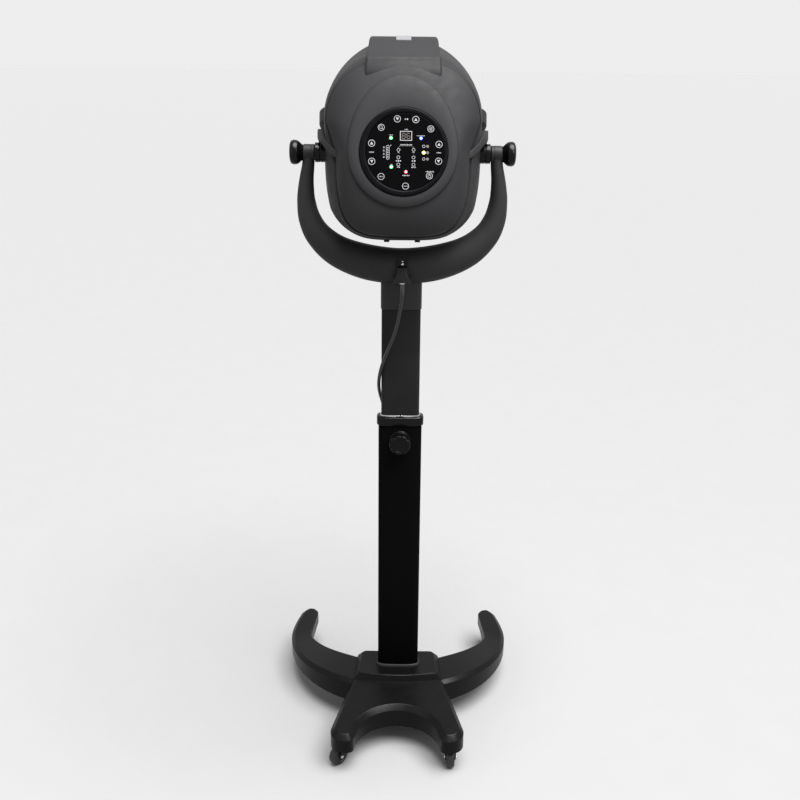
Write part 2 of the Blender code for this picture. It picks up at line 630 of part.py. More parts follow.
def build_mast(look, column):
    outer, bore = grown(INNER_TUBE, 0, 4), grown(INNER_BORE, 0, 4)
    tube = sleeve("inner_tube", outer, bore, INNER_TUBE_FOOT, INNER_TUBE_HEAD)
    add("inner_tube", tube, look["tube"], column)
    socket = add("yoke_socket", sleeve("yoke_socket", grown(SLEEVE, 0, 4), grown(INNER_TUBE, GAP, 4),
                                       SLEEVE_FOOT, SLEEVE_HEAD - 0.004), look["tube"], column)
    lid = extruded("lid", grown(SLEEVE, 0, 4), INNER_TUBE_HEAD + 0.010, SLEEVE_HEAD)
    use_boolean(socket, cutter("lid_tool", lid, column), "UNION")

    hubs = joined("hub_spaces", [
        (turned("space", ((HUB_RADIUS + GAP, HUB_INNER - 0.01), (HUB_RADIUS + GAP, HUB_OUTER + 0.01)), 22),
         Matrix.Translation((0, 0, PIVOT_Z)) @ Matrix.Rotation(math.radians(turn), 4, "Y"))
        for turn in (90, -90)])
    hub_tool = cutter("hub_tool", hubs, column)
    room = extruded("socket_room", grown(SLEEVE, 0.0005, 4), 1.08, SLEEVE_HEAD + GAP)
    room_tool = cutter("socket_room_tool", room, column)
    for label, side in (("front", -1), ("rear", 1)):
        half = add(f"yoke_{label}_half", yoke_half(side), look["yoke"], column)
        use_boolean(half, room_tool)
        use_boolean(half, hub_tool)

    rings = []
    for (x, z, _), (wx, wz) in zip(*yoke_stations()):
        rings.append([(x - wz * 0.0085 * math.cos(a), 0.0085 * math.sin(a), z + wx * 0.0085 * math.cos(a))
                      for a in np.linspace(0, 2 * math.pi, 6, endpoint=False)])
    steel = add("yoke_core", loft("yoke_core", rings), look["steel"], column)
    use_boolean(steel, hub_tool)

    for label, turn in (("left", -90), ("right", 90)):
        hub = turned("hub", (
            (0.0056, HUB_INNER), (HUB_RADIUS - 0.001, HUB_INNER), (HUB_RADIUS, HUB_INNER + 0.001),
            (HUB_RADIUS, HUB_OUTER - 0.001), (HUB_RADIUS - 0.001, HUB_OUTER), (0.0056, HUB_OUTER)),
                     22, loop=True)
        add(f"pivot_hub_{label}", hub, look["yoke"], column, (0, 0, PIVOT_Z), (0, math.radians(turn), 0))
        knob = turned("knob", ((0.0050, 0.1780), (0.0050, HUB_OUTER + GAP), (0.0215, HUB_OUTER + GAP),
                               (0.0205, 0.2225), (0.0235, 0.2270), (0.0260, 0.2310), (0.0260, 0.2345),
                               (0.0235, 0.2390), (0.0150, 0.2430), (0.0050, 0.2450)), 22)
        add(f"pivot_knob_{label}", knob, look["gloss"], column, (0, 0, PIVOT_Z), (0, math.radians(turn), 0))

    build_cable_exit(look, column)


def build_cable_exit(look, column):
    """Plate with screws on the yoke's front, flared guard under it, gland in the guard's mouth."""
    face = -(0.8 * 0.040 + 0.004) - 0.0006
    plate = extruded("cable_plate", rounded_box(0.0130, 0.0100, 0.0015, 2), 0.0, 0.0016)
    # each screw's height above the plate's middle and its head's radius
    screws = (("upper", 0.0040, 0.0022), ("lower", -0.0032, 0.0031))
    holes = cylinders("plate_holes", [(0.0020, rise) for _, rise, _ in screws], 0.0019, -0.01, 0.01, 10)
    place = (0.0, face, 1.2010)
    turn = (math.radians(90), 0, 0)
    plate_object = add("cable_plate", plate, look["gloss"], column, place, turn)
    use_boolean(plate_object, cutter("plate_hole_tool", holes, column, place, turn))
    for label, rise, radius in screws:
        screw = turned("plate_screw", ((0.0016, 0.0002), (0.0016, 0.0018), (radius, 0.0020), (radius, 0.0027),
                                       (radius * 0.6, 0.0034)), 12)
        add(f"plate_screw_{label}", screw, look["steel"], column, (0.0020, face, place[2] + rise), turn)

    heights = ((1.1895, 0.0115, 0.0130), (1.1800, 0.0140, 0.0175), (1.1700, 0.0185, 0.0190),
               (1.1610, 0.0215, 0.0190))
    rings = []
    for z, half, deep in heights:
        corners = [(-half, 0.0, 0.0), (-half, -deep, 0.005), (half, -deep, 0.005), (half, 0.0, 0.0)]
        rings.append([(x, face + y, z) for x, y in rounded(corners, 3)])
    guard = add("cable_guard", loft("cable_guard", rings), look["yoke"], column)
    mouth = turned("mouth", ((0.0068, 1.150), (0.0068, 1.1745)), 20)
    mouth.transform(Matrix.Translation((0.0020, -0.0470, 0)))
    use_boolean(guard, cutter("mouth_tool", mouth, column))
    gland = turned("cord_gland", (
        (CORD_RADIUS + GAP, 1.1550), (0.0062, 1.1550), (0.0064, 1.1600), (0.0064, 1.1740),
        (CORD_RADIUS + GAP, 1.1740)), 20, loop=True)
    add("cord_gland", gland, look["steel"], column, (0.0020, -0.0470, 0.0))


# ---------------------------------------------------------------- hood, in its own frame
def section(y, lean, centre, half_width, up, down, square_up, square_down, count=30):
    """A ring of the hood: round above its centre, squarer below; lean tips the ring with its height."""
    ring = []
    for i in range(count):
        a = 2 * math.pi * (i + 0.5) / count
        s, c = math.sin(a), math.cos(a)
        power, reach = (square_up, up) if c > 0 else (square_down, down)
        x = half_width * math.copysign(abs(s) ** (2 / power), s)
        z = reach * math.copysign(abs(c) ** (2 / power), c)
        ring.append((x, y + lean * (centre + z), centre + z))
    return ring


# y, lean, centre height, half width, height above and depth below the centre, squareness above and below
BACK_SECTIONS = (
    (PANEL_Y + 0.001, 0.0, PANEL_Z, 0.0930, 0.0930, 0.0930, 2.0, 2.0),
    (PANEL_Y, 0.0, PANEL_Z, 0.0960, 0.1020, 0.0960, 2.0, 2.0),
    (PANEL_Y + 0.003, 0.01, PANEL_Z, 0.1060, 0.1420, 0.1060, 2.0, 2.0),
    (PANEL_Y + 0.012, 0.03, PANEL_Z, 0.1130, 0.1600, 0.1130, 2.0, 2.0),
    (-0.1360, 0.09, 0.0600, 0.1420, 0.1000, 0.2500, 2.6, 3.4),
    (-0.1200, 0.09, 0.0600, 0.1500, 0.1250, 0.2560, 2.4, 3.6),
    (-0.0900, 0.05, 0.0800, 0.1550, 0.1150, 0.2760, 2.2, 3.8),
    (-0.0450, 0.0, 0.0928, 0.1630, 0.1240, 0.2888, 2.1, 4.0),
    (SEAM_Y - GAP, 0.0, 0.0928, 0.1700, 0.1590, 0.2888, 2.0, 4.0),
)
FRONT_SECTIONS = (
    (SEAM_Y, 0.0, 0.0928, 0.1700, 0.1590, 0.2888, 2.0, 4.0),
    (0.0700, 0.0, 0.0928, 0.1740, 0.1820, 0.2800, 2.0, 3.6),
    (0.1200, 0.0, 0.0928, 0.1690, 0.1780, 0.2500, 2.0, 3.2),
    (0.1600, 0.0, 0.0928, 0.1530, 0.1560, 0.2100, 2.0, 2.8),
    (0.1880, 0.0, 0.0928, 0.1260, 0.1170, 0.1600, 2.0, 2.4),
    (0.2020, 0.0, 0.0928, 0.0880, 0.0770, 0.1050, 2.0, 2.0),
    (0.2070, 0.0, 0.0928, 0.0420, 0.0350, 0.0450, 2.0, 2.0),
)
LINER_SECTIONS = (
    (-0.0780, 0.06, 0.0500, 0.0900, 0.0850, 0.1600, 2.2, 2.6),
    (-0.0700, 0.06, 0.0700, 0.1250, 0.1020, 0.2050, 2.2, 3.2),
    (-0.0400, 0.02, 0.0850, 0.1480, 0.1220, 0.2420, 2.1, 3.6),
    (0.0300, 0.0, 0.0900, 0.1570, 0.1480, 0.2600, 2.0, 3.8),
    (0.1000, 0.0, 0.0900, 0.1500, 0.1480, 0.2400, 2.0, 3.4),
    (0.1500, 0.0, 0.0900, 0.1300, 0.1240, 0.1900, 2.0, 2.8),
    (0.1780, 0.0, 0.0900, 0.0900, 0.0850, 0.1300, 2.0, 2.2),
)


def inset(row, wall, shift):
    y, lean, centre, half_width, up, down, square_up, square_down = row
    return (y + shift, lean, centre, half_width - wall, up - wall, down - wall, square_up, square_down)


def outer_body(first):
    """Rings of the hood's outer surface, a little outside it, from one back section to the brow."""
    rows = [inset(row, -3 * GAP, -2 * GAP) for row in BACK_SECTIONS[first:]]
    rows += [inset(row, -3 * GAP, 2 * GAP) for row in FRONT_SECTIONS[1:]]
    return [section(*row) for row in rows]


def opening_side(below=0.0, upper=False):
    """A thick slab under (or above) the head opening's plane, moved down by a distance along its normal."""
    (y0, z0), (y1, z1) = NECK_EDGE, BROW_EDGE
    way = Vector((0.0, y1 - y0, z1 - z0)).normalized()
    normal = Vector((0.0, -way.z, way.y))
    start = Vector((0.0, y0, z0)) - normal * below
    thick = normal * (0.6 if upper else -0.4)
    corners = [start - way * 0.4, start + way * 0.8, start + way * 0.8 + thick, start - way * 0.4 + thick]
    return loft("opening", [[(x, p.y, p.z) for p in corners] for x in (-0.3, 0.3)])


def build_hood(look, hood):
    plane = cutter("opening_tool", opening_side(), hood)
    walls = [inset(row, SHELL_WALL, SHELL_WALL * (1.0 if row[0] < -0.10 else 0.3))
             for row in BACK_SECTIONS[1:]]
    walls[0] = inset(BACK_SECTIONS[0], 0.0, SHELL_WALL - 0.0005)
    walls[-1] = inset(BACK_SECTIONS[-1], SHELL_WALL, 0.0)
    rings = [section(*row) for row in BACK_SECTIONS] + [section(*row) for row in reversed(walls)]
    back = add("hood_back_shell", loft("back_shell", rings, loop=True), look["shell"], hood)
    use_boolean(back, plane)

    walls = [inset(row, SHELL_WALL, -SHELL_WALL * (1.0 if row[0] > 0.15 else 0.3)) for row in FRONT_SECTIONS]
    walls[0] = inset(FRONT_SECTIONS[0], SHELL_WALL, 0.0)
    rings = [section(*row) for row in reversed(FRONT_SECTIONS)] + [section(*row) for row in walls]
    front = add("hood_front_shell", loft("front_shell", rings), look["shell"], hood)
    use_boolean(front, plane)

    bowl = loft("liner", [section(*row, 24) for row in LINER_SECTIONS])
    liner = add("hood_liner", bowl, look["liner"], hood)
    walls = [inset(row, 0.0022, 0.0022 if row[0] < 0 else -0.0015) for row in LINER_SECTIONS]
    hollow = loft("liner_hollow", [section(*row, 24) for row in walls])
    use_boolean(liner, cutter("liner_hollow_tool", hollow, hood))
    use_boolean(liner, cutter("liner_plane_tool", opening_side(-0.0005), hood))
    build_rim(look, hood)
    build_scoop(look, hood)
    build_panel(look, hood)
    build_blower(look, hood)
    build_pivot_sides(look, hood)


def build_rim(look, hood):
    """Flat rim that closes the space between the shells and the liner, just inside the head opening."""
    rows = [inset(row, SHELL_WALL + GAP, SHELL_WALL) for row in BACK_SECTIONS[4:]]
    rows += [inset(row, SHELL_WALL + GAP, -SHELL_WALL) for row in FRONT_SECTIONS[1:]]
    rim = add("hood_rim", loft("rim", [section(*row) for row in rows]), look["gloss"], hood)
    use_boolean(rim, cutter("rim_lower_tool", opening_side(-0.0010), hood))
    use_boolean(rim, cutter("rim_upper_tool", opening_side(-0.0050, upper=True), hood))
    rows = [inset(row, -2 * GAP, -GAP if row[0] < 0 else GAP) for row in LINER_SECTIONS]
    use_boolean(rim, cutter("rim_hole_tool", loft("rim_hole", [section(*row, 24) for row in rows]), hood))


def build_scoop(look, hood):
    """Raised air-intake housing on the crown."""
    profile = ((0.0450, 0.2600, 0.0690, 0.000, 0.050), (-0.0150, 0.2470, 0.0740, 0.010, 0.060),
               (-0.1100, 0.1790, 0.0778, 0.040, 0.060), (-0.1220, 0.1690, 0.0785, 0.045, 0.040),
               (-0.1410, 0.1220, 0.0812, 0.030, 0.020))
    rings = []
    for y, z, half, back, down in profile:
        rings.append([(-half, y + 0.003, z - 0.004), (-half + 0.005, y, z), (half - 0.005, y, z),
                      (half, y + 0.003, z - 0.004), (half, y + back, z - down), (-half, y + back, z - down)])
    scoop = add("intake_scoop", loft("scoop", rings), look["shell"], hood)
    body = loft("hood_body", outer_body(2))
    use_boolean(scoop, cutter("hood_body_tool", body, hood))


def build_panel(look, hood):
    """Bezel ring, glass disc and the control board behind it, facing -Y."""
    place, turn = (0.0, PANEL_Y, PANEL_Z), (math.radians(90), 0, 0)
    bezel = turned("bezel", (
        (GLASS_RADIUS + GAP, -0.004), (0.0919, -0.004), (0.0919, 0.0010), (BEZEL_RADIUS, 0.0022),
        (GLASS_RADIUS + 0.004, 0.0030), (GLASS_RADIUS + GAP, 0.0020)), 36, loop=True)
    add("panel_bezel", bezel, look["bezel"], hood, place, turn)
    glass = turned("glass", (
        (GLASS_RADIUS, -0.0025), (GLASS_RADIUS, 0.0008), (GLASS_RADIUS - 0.001, 0.0014)), 36)
    add("panel_glass", glass, look["glass"], hood, place, turn)
    board = extruded("board", circle(0.070, 24), -0.0060, -0.0044)
    add("control_board", board, look["board"], hood, place, turn)


def build_blower(look, hood):
    """Motor, centrifugal impeller and the ring of heater wire between the back shell and the liner."""
    turn = (math.radians(90), 0, 0)
    motor = turned("motor", ((0.026, 0.110), (0.028, 0.112), (0.028, 0.140), (0.024, 0.143)), 24)
    add("blower_motor", motor, look["iron"], hood, (0.0, 0.0, BLOWER_Z), turn)
    wheel = turned("impeller", (
        (0.012, 0.0900), (0.050, 0.0900), (0.050, 0.1020), (0.046, 0.1020), (0.046, 0.0930), (0.012, 0.0930),
        (0.010, 0.1080), (0.004, 0.1094)), 20)
    add("blower_impeller", wheel, look["grille"], hood, (0.0, 0.0, BLOWER_Z), turn)
    wire = turned("heater", [(0.0640 + 0.003 * math.cos(a), 0.0960 + 0.003 * math.sin(a))
                             for a in np.linspace(0, 2 * math.pi, 5, endpoint=False)], 20, loop=True)
    add("heater_coil", wire, look["coil"], hood, (0.0, 0.0, BLOWER_Z), turn)


def build_pivot_sides(look, hood):
    """Pivot collars with their bores, and the arched fairings above them."""
    body = loft("hood_flanks", outer_body(4))
    flank_tool = cutter("flank_tool", body, hood)
    arcs = np.radians(np.linspace(-8, 188, 15))
    steps = ((0.080, 0.150, 0.1775), (0.0765, 0.150, 0.1815), (0.053, 0.150, 0.1815), (0.050, 0.150, 0.1795),
             (0.0465, 0.150, 0.1845), (0.030, 0.150, 0.1845), (0.0275, 0.150, 0.1790))
    for label, sx in (("left", -1), ("right", 1)):
        collar = turned("collar", ((0.0056, 0.1740), (0.0056, 0.1898), (0.0205, 0.1898), (0.0210, 0.1888),
                                   (0.0210, 0.1560), (0.0056, 0.1560)), 22, loop=True)
        turn = (0, sx * math.radians(90), 0)
        made = add(f"pivot_collar_{label}", collar, look["gloss"], hood, rotation=turn)
        use_boolean(made, flank_tool)
        rings = []
        for a in arcs:
            c, s = math.cos(a), math.sin(a)
            outer = [(sx * x, -r * c, r * s) for r, _, x in steps]
            inner = [(sx * low, -r * c, r * s) for r, low, _ in reversed(steps)]
            rings.append(outer + inner)
        fairing = add(f"side_fairing_{label}", loft("fairing", rings), look["shell"], hood)
        use_boolean(fairing, flank_tool)


# ---------------------------------------------------------------- cord
def tube_along(name, route, count, look, column):
    curve = bpy.data.curves.new(name, "CURVE")
    curve.dimensions = "3D"
    curve.bevel_depth = CORD_RADIUS
    curve.bevel_resolution = 2
    curve.use_fill_caps = True
    places = smooth_curve(route, count)
    spline = curve.splines.new("POLY")
    spline.points.add(len(places) - 1)
    for point, place in zip(spline.points, places):
        point.co = (*place, 1.0)
    curve.materials.append(look["cord"])
    tube = bpy.data.objects.new(name, curve)
    tube.parent = column
    bpy.context.collection.objects.link(tube)


def build_cord(look, column):
    tube_along("power_cord", CORD_ROUTE, 58, look, column)
    tube_along("plug_lead", LEAD_ROUTE, 12, look, column)
    round_off = 0.005
    ring = turned("coil", (
        (COIL_INNER + round_off, COIL_LOW), (COIL_OUTER - round_off, COIL_LOW),
        (COIL_OUTER, COIL_LOW + round_off), (COIL_OUTER, COIL_HIGH - round_off),
        (COIL_OUTER - round_off, COIL_HIGH), (COIL_INNER + round_off, COIL_HIGH),
        (COIL_INNER, COIL_HIGH - round_off),
        (COIL_INNER, COIL_LOW + round_off)), 28, loop=True)
    add("cord_coil", ring, look["cord"], column, (*COIL_CENTRE, 0.0))

    # tie: a strap round the bundle, on the side towards the column
    middle, half = (COIL_LOW + COIL_HIGH) / 2, (COIL_HIGH - COIL_LOW) / 2 + GAP
    inside = [(-COIL_OUTER - GAP, middle - half), (-COIL_INNER + 0.0012, middle - half),
              (-COIL_INNER + 0.0012, middle + half), (-COIL_OUTER - GAP, middle + half)]
    outside = offset(inside, COIL_LOW - GAP - 0.0001)
    across = TIE_WIDTH / 2
    rings = [[(x, y, z) for y, z in outline] for x, outline in
             ((-across, outside), (across, outside), (across, inside), (-across, inside))]
    add("coil_tie", loft("coil_tie", rings, loop=True), look["rubber"], column, (*COIL_CENTRE, 0.0))

    # plug: tapered tail, moulded body and two flat blades, along -Y from its place
    def station(y, half_width, half_height):
        corner = min(half_width, half_height) * 0.6
        return [(x, -y, z) for x, z in rounded_box(half_width, half_height, corner, 2)]

    plug = add("mains_plug", loft("mains_plug", [
        station(0.0, 0.0048, 0.0048), station(0.022, 0.0065, 0.0062), station(0.0255, 0.0115, 0.0085),
        station(0.046, 0.0130, 0.0098), station(0.048, 0.0125, 0.0092)]), look["rubber"], column, PLUG_PLACE)
    for sx in (-1, 1):
        blade = loft("blade", [[(sx * 0.0064 + x, y, z) for x, z in
                                ((-0.0008, -0.0031), (0.0008, -0.0031), (0.0008, 0.0031), (-0.0008, 0.0031))]
                               for y in (-0.046, -0.064)])
        use_boolean(plug, cutter(f"blade_tool_{sx}", blade, column, PLUG_PLACE), "UNION")


def build():
    clear_scene()
    look = make_materials()
    column = frame_empty("column_axis", (0.0, COLUMN_Y, 0.0))
    hood = frame_empty("hood_pivot", (0.0, 0.0, PIVOT_Z), tilt_x=-HOOD_TILT, parent=column)
    build_casters(look, column)
    foot_tool = build_base(look, column)
    build_column(look, column, foot_tool)
    build_mast(look, column)
    build_hood(look, hood)
    build_cord(look, column)


build()
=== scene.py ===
"""Looks of the salon hood hair dryer: finer shells, touch panel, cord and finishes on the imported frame.

Metres, +Z up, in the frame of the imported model: the panel faces -Y and the column stands at y = COLUMN_Y.
Shapes of the hood are made in the hood's own frame, whose origin is on the pivots' axis and which is tilted
back by HOOD_TILT; shapes of the column, mast and base are made round the column's axis.
"""

import math

import bmesh
import bpy
import numpy as np
from mathutils import Matrix, Vector

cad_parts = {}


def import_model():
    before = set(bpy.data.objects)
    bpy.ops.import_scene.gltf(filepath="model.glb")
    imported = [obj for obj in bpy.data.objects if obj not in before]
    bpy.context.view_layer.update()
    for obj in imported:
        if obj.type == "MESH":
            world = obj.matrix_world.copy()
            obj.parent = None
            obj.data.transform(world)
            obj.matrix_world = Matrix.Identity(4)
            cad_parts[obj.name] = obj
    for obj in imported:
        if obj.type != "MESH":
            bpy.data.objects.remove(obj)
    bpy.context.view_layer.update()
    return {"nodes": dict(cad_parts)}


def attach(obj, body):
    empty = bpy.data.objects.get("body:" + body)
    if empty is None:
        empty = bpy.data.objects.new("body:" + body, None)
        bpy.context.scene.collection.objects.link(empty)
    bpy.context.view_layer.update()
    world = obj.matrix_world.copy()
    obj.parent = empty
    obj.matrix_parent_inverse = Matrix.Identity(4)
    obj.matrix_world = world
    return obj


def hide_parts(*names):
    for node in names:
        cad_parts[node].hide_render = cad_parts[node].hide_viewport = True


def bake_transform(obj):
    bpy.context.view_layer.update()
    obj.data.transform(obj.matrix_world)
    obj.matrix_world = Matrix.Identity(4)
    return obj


# ---------------------------------------------------------------- frame
GAP = 0.0003
COLUMN_Y = -0.0355
PIVOT_Z = 1.4344
HOOD_TILT = math.radians(20)
COLUMN = Matrix.Translation((0.0, COLUMN_Y, 0.0))
HOOD = Matrix.Translation((0.0, COLUMN_Y, PIVOT_Z)) @ Matrix.Rotation(-HOOD_TILT, 4, "X")
TO_FRONT = Matrix.Rotation(math.radians(90), 4, "X")  # turns +Z to -Y

# ---------------------------------------------------------------- column and mast
OUTER_TUBE = (0.0512, 0.0195)  # an oval's half width and half depth
OUTER_BORE = (0.0482, 0.0165)
COLLAR = (0.0552, 0.0232)
INNER_TUBE = (0.0447, 0.014, 0.0105)  # a rounded rectangle's half width, half depth and corner radius
INNER_BORE = (0.042, 0.0113, 0.0078)
SLEEVE = (0.0466, 0.016, 0.0124)
SLEEVE_BORE = (0.045, 0.0143, 0.0108)
COLUMN_FOOT = 0.0668
COLUMN_TOP = 0.816
COLLAR_FOOT = 0.807
COLLAR_TOP = 0.829
BUSH_FOOT = 0.74
BUSH_TOP = 0.834
INNER_TUBE_FOOT = 0.5
INNER_TUBE_HEAD = 1.15
SLEEVE_FOOT = 1.088
SLEEVE_HEAD = 1.172
LOCK_Z = 0.7715
HUB_RADIUS = 0.0175
HUB_INNER = 0.191
KNOB_FOOT = 0.2152  # where the hand knob's neck meets the hub
# centreline of the yoke's right half: x, z and half thickness
YOKE_POINTS = (
    (0.0, 1.186, 0.04), (0.075, 1.194, 0.0398), (0.141, 1.2175, 0.0353), (0.1835, 1.2525, 0.0297),
    (0.204, 1.29, 0.0248), (0.211, 1.3286, 0.0203), (0.2112, 1.355, 0.0177), (0.209, 1.381, 0.0153),
    (0.2052, 1.407, 0.0135), (0.204, 1.4344, 0.0128),
)
YOKE_FACE = 0.036  # how far the yoke's middle stands out from the column's axis
YOKE_WALL = 0.003

# ---------------------------------------------------------------- base
BASE_UNDER = 0.058
BASE_FRONT = -0.256
COVER_TOP = 0.126
COVER_BEVEL = 0.0115
LEG_SLOPE = 0.1105
LEG_START = -0.06
PLATFORM_TOP = 0.142
POCKET_ROOF = 0.094
ARCH_CENTRE = -0.257
ARCH_RADIUS = 0.1045
ARM_UNDER = 0.06
ARM_OUTER_ARC = (0.2155, 0.2965)  # how far back the arc's centre lies, and its radius
ARM_INNER_ARC = (0.2945, 0.2615)
ARM_END = 0.3275
ARM_TOP_INNER = 0.122
ARM_TOP_OUTER = 0.098
WHEEL_RADIUS = 0.025
WHEEL_WIDTH = 0.018
CASTER_TRAIL = 0.017
CASTER_TOP = 0.0575
CASTERS = {  # stem place, relative to the column, and heading in degrees
    "front_left": (-0.13, -0.206, -135.0), "front_right": (0.13, -0.206, -90.0),
    "rear_left": (-0.2612, 0.283, 80.0), "rear_right": (0.2612, 0.283, 105.0),
}

# ---------------------------------------------------------------- hood
PANEL_Y = -0.156
PANEL_X = 0.0018
PANEL_Z = -0.0346
EGG_Z = -0.0318  # middle of the raised egg-shaped face round the panel
GLASS_RADIUS = 0.0786
GLASS_SHIFT = 0.0019  # how far the glass sits to the right of the bezel's middle
SHELL_WALL = 0.003
LINER_WALL = 0.0022
NECK_EDGE = (-0.07, -0.1925)  # y and z of two points on the head opening's plane
BROW_EDGE = (0.203, 0.03)
OPENING_HALF = 0.165  # from the neck's edge to the opening's middle
RIM_GAP = 0.0006
PANEL_HOLE = 0.0902


# ---------------------------------------------------------------- mesh helpers
def to_mesh(name, bm, matrix=Matrix.Identity(4), sharp=32.0):
    bmesh.ops.recalc_face_normals(bm, faces=bm.faces)
    mesh = bpy.data.meshes.new(name)
    bm.to_mesh(mesh)
    bm.free()
    mesh.transform(matrix)
    mesh.shade_smooth()
    mesh.set_sharp_from_angle(angle=math.radians(sharp))
    return mesh


def skin(rings, loop=False, caps=True, bm=None):
    """Quads through rings of points, with a face over each end unless the rings close into a loop."""
    bm = bm or bmesh.new()
    rows = [[bm.verts.new(p) for p in ring] for ring in rings]
    count = len(rows[0])
    pairs = list(zip(rows[:-1], rows[1:]))
    if loop:
        pairs.append((rows[-1], rows[0]))
    for low, high in pairs:
        for i in range(count):
            j = (i + 1) % count
            bm.faces.new((low[i], low[j], high[j], high[i]))
    if caps and not loop:
        bm.faces.new(rows[0][::-1])
        bm.faces.new(rows[-1])
    return bm


def place(name, mesh, material, body, nodes=()):
    """Shows a mesh that is already where it belongs, riding on a body and standing for nodes of the frame."""
    made = bpy.data.objects.new(f"{name}_fine", mesh)
    bpy.context.scene.collection.objects.link(made)
    mesh.materials.append(material)
    if body:
        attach(made, body)
    if nodes:
        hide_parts(*nodes)
    return made


def show(name, bm, matrix, material, body, sharp=32.0):
    """Shows a body in place of the frame's node of the same name."""
    return place(name, to_mesh(name, bm, matrix, sharp), material, body, (name,))


def add(name, bm, matrix, material, body="hood"):
    """Shows a body that the frame has no node for."""
    return place(name, to_mesh(name, bm, matrix), material, body)


def soften(shape, width, angle):
    step = shape.modifiers.new("Bevel", "BEVEL")
    step.width = width
    step.segments = 2
    step.limit_method = "ANGLE"
    step.angle_limit = math.radians(angle)
    step.harden_normals = True


def weigh(shape):
    """Keeps broad faces flat beside their narrow rounded edges."""
    step = shape.modifiers.new("WeightedNormal", "WEIGHTED_NORMAL")
    step.weight = 80
    step.keep_sharp = True


def boolean(mesh, tool_mesh, operation="DIFFERENCE"):
    """The mesh after a Boolean with another one."""
    target = bpy.data.objects.new("target", mesh)
    tool = bpy.data.objects.new("tool", tool_mesh)
    for made in (target, tool):
        bpy.context.scene.collection.objects.link(made)
    step = target.modifiers.new("Boolean", "BOOLEAN")
    step.operation = operation
    step.solver = "EXACT"
    step.object = tool
    graph = bpy.context.evaluated_depsgraph_get()
    result = bpy.data.meshes.new_from_object(target.evaluated_get(graph))
    for made in (target, tool):
        bpy.data.objects.remove(made)
    result.shade_smooth()
    result.set_sharp_from_angle(angle=math.radians(32))
    return result


def at_height(outline, z):
    return [(x, y, z) for x, y in outline]


def circle(radius, steps=48, centre=(0.0, 0.0)):
    angles = np.linspace(0, 2 * math.pi, steps, endpoint=False)
    return [(centre[0] + radius * math.cos(a), centre[1] + radius * math.sin(a)) for a in angles]


def rounded(corners, steps=8):
    """The outline through (x, y, radius) corners, each turned into an arc."""
    points = []
    for before, corner, after in zip(corners[-1:] + corners[:-1], corners, corners[1:] + corners[:1]):
        here = Vector(corner[:2])
        if not corner[2]:
            points.append(tuple(here))
            continue
        back = (Vector(before[:2]) - here).normalized()
        ahead = (Vector(after[:2]) - here).normalized()
        half = back.angle(ahead) / 2
        reach = corner[2] / math.tan(half)
        centre = here + (back + ahead).normalized() * corner[2] / math.sin(half)
        first, last = here + back * reach - centre, here + ahead * reach - centre
        turn = first.angle_signed(last)
        for i in range(steps + 1):
            points.append(tuple(centre + Matrix.Rotation(-turn * i / steps, 2) @ first))
    return points


def rounded_box(half_width, half_depth, radius, steps=8):
    signs = ((1, -1), (1, 1), (-1, 1), (-1, -1))
    return rounded([(sx * half_width, sy * half_depth, radius) for sx, sy in signs], steps)


def oval(half_width, half_depth, power=3.6, count=112):
    """A superellipse; a higher power gives it squarer corners."""
    points = []
    for i in range(count):
        a = 2 * math.pi * (i + 0.5) / count
        c, s = math.cos(a), math.sin(a)
        points.append((half_width * math.copysign(abs(c) ** (2 / power), c),
                       half_depth * math.copysign(abs(s) ** (2 / power), s)))
    return points


def grown(size, by):
    """A tube's outline moved outwards: an oval of two sizes, or a rounded rectangle of three."""
    if len(size) == 2:
        return oval(size[0] + by, size[1] + by)
    half_width, half_depth, radius = size
    return rounded_box(half_width + by, half_depth + by, radius + by)


def offset(outline, by):
    """An anticlockwise outline moved outwards by a distance, or inwards if it is negative."""
    points = [Vector(p) for p in outline]
    moved = []
    for before, here, after in zip(points[-1:] + points[:-1], points, points[1:] + points[:1]):
        a, b = (here - before).normalized(), (after - here).normalized()
        out = Vector((a.y + b.y, -a.x - b.x)).normalized()
        moved.append(tuple(here + out * by / max(0.5, out.dot(Vector((a.y, -a.x))))))
    return moved


def clamp(value):
    return min(1.0, max(0.0, value))


def eased(share):
    return share * share * (3 - 2 * share)


def between(keys, steps):
    """The given arrays and more between them, on Catmull-Rom curves; steps is the spacing from key to key."""
    ends = [2 * keys[0] - keys[1], *keys, 2 * keys[-1] - keys[-2]]
    made = []
    for a, b, c, d in zip(ends[:-3], ends[1:-2], ends[2:-1], ends[3:]):
        for t in np.linspace(0, 1, steps, endpoint=False):
            made.append(0.5 * (2 * b + (c - a) * t + (2 * a - 5 * b + 4 * c - d) * t**2
                               + (3 * b - a - 3 * c + d) * t**3))
    return [*made, keys[-1]]


def smooth_curve(points, count):
    """Evenly spaced points on a smooth curve through the given ones; extra columns follow along."""
    fine = np.array(between([np.array(p, float) for p in points], 24))
    run = np.concatenate([[0], np.cumsum(np.linalg.norm(np.diff(fine, axis=0)[:, :3], axis=1))])
    return np.array([np.interp(np.linspace(0, run[-1], count), run, column) for column in fine.T]).T


def soft_profile(points, steps=4):
    """A (radius, height, rounding) polyline with its inner corners turned into arcs."""
    made = [points[0][:2]]
    for before, corner, after in zip(points[:-2], points[1:-1], points[2:]):
        here = Vector(corner[:2])
        if len(corner) < 3 or not corner[2]:
            made.append(corner[:2])
            continue
        back, ahead = Vector(before[:2]) - here, Vector(after[:2]) - here
        reach = min(corner[2], back.length * 0.48, ahead.length * 0.48)
        start, end = here + back.normalized() * reach, here + ahead.normalized() * reach
        for t in np.linspace(0, 1, steps + 1):
            made.append(tuple(start * (1 - t) ** 2 + here * 2 * t * (1 - t) + end * t**2))
    made.append(points[-1][:2])
    return made


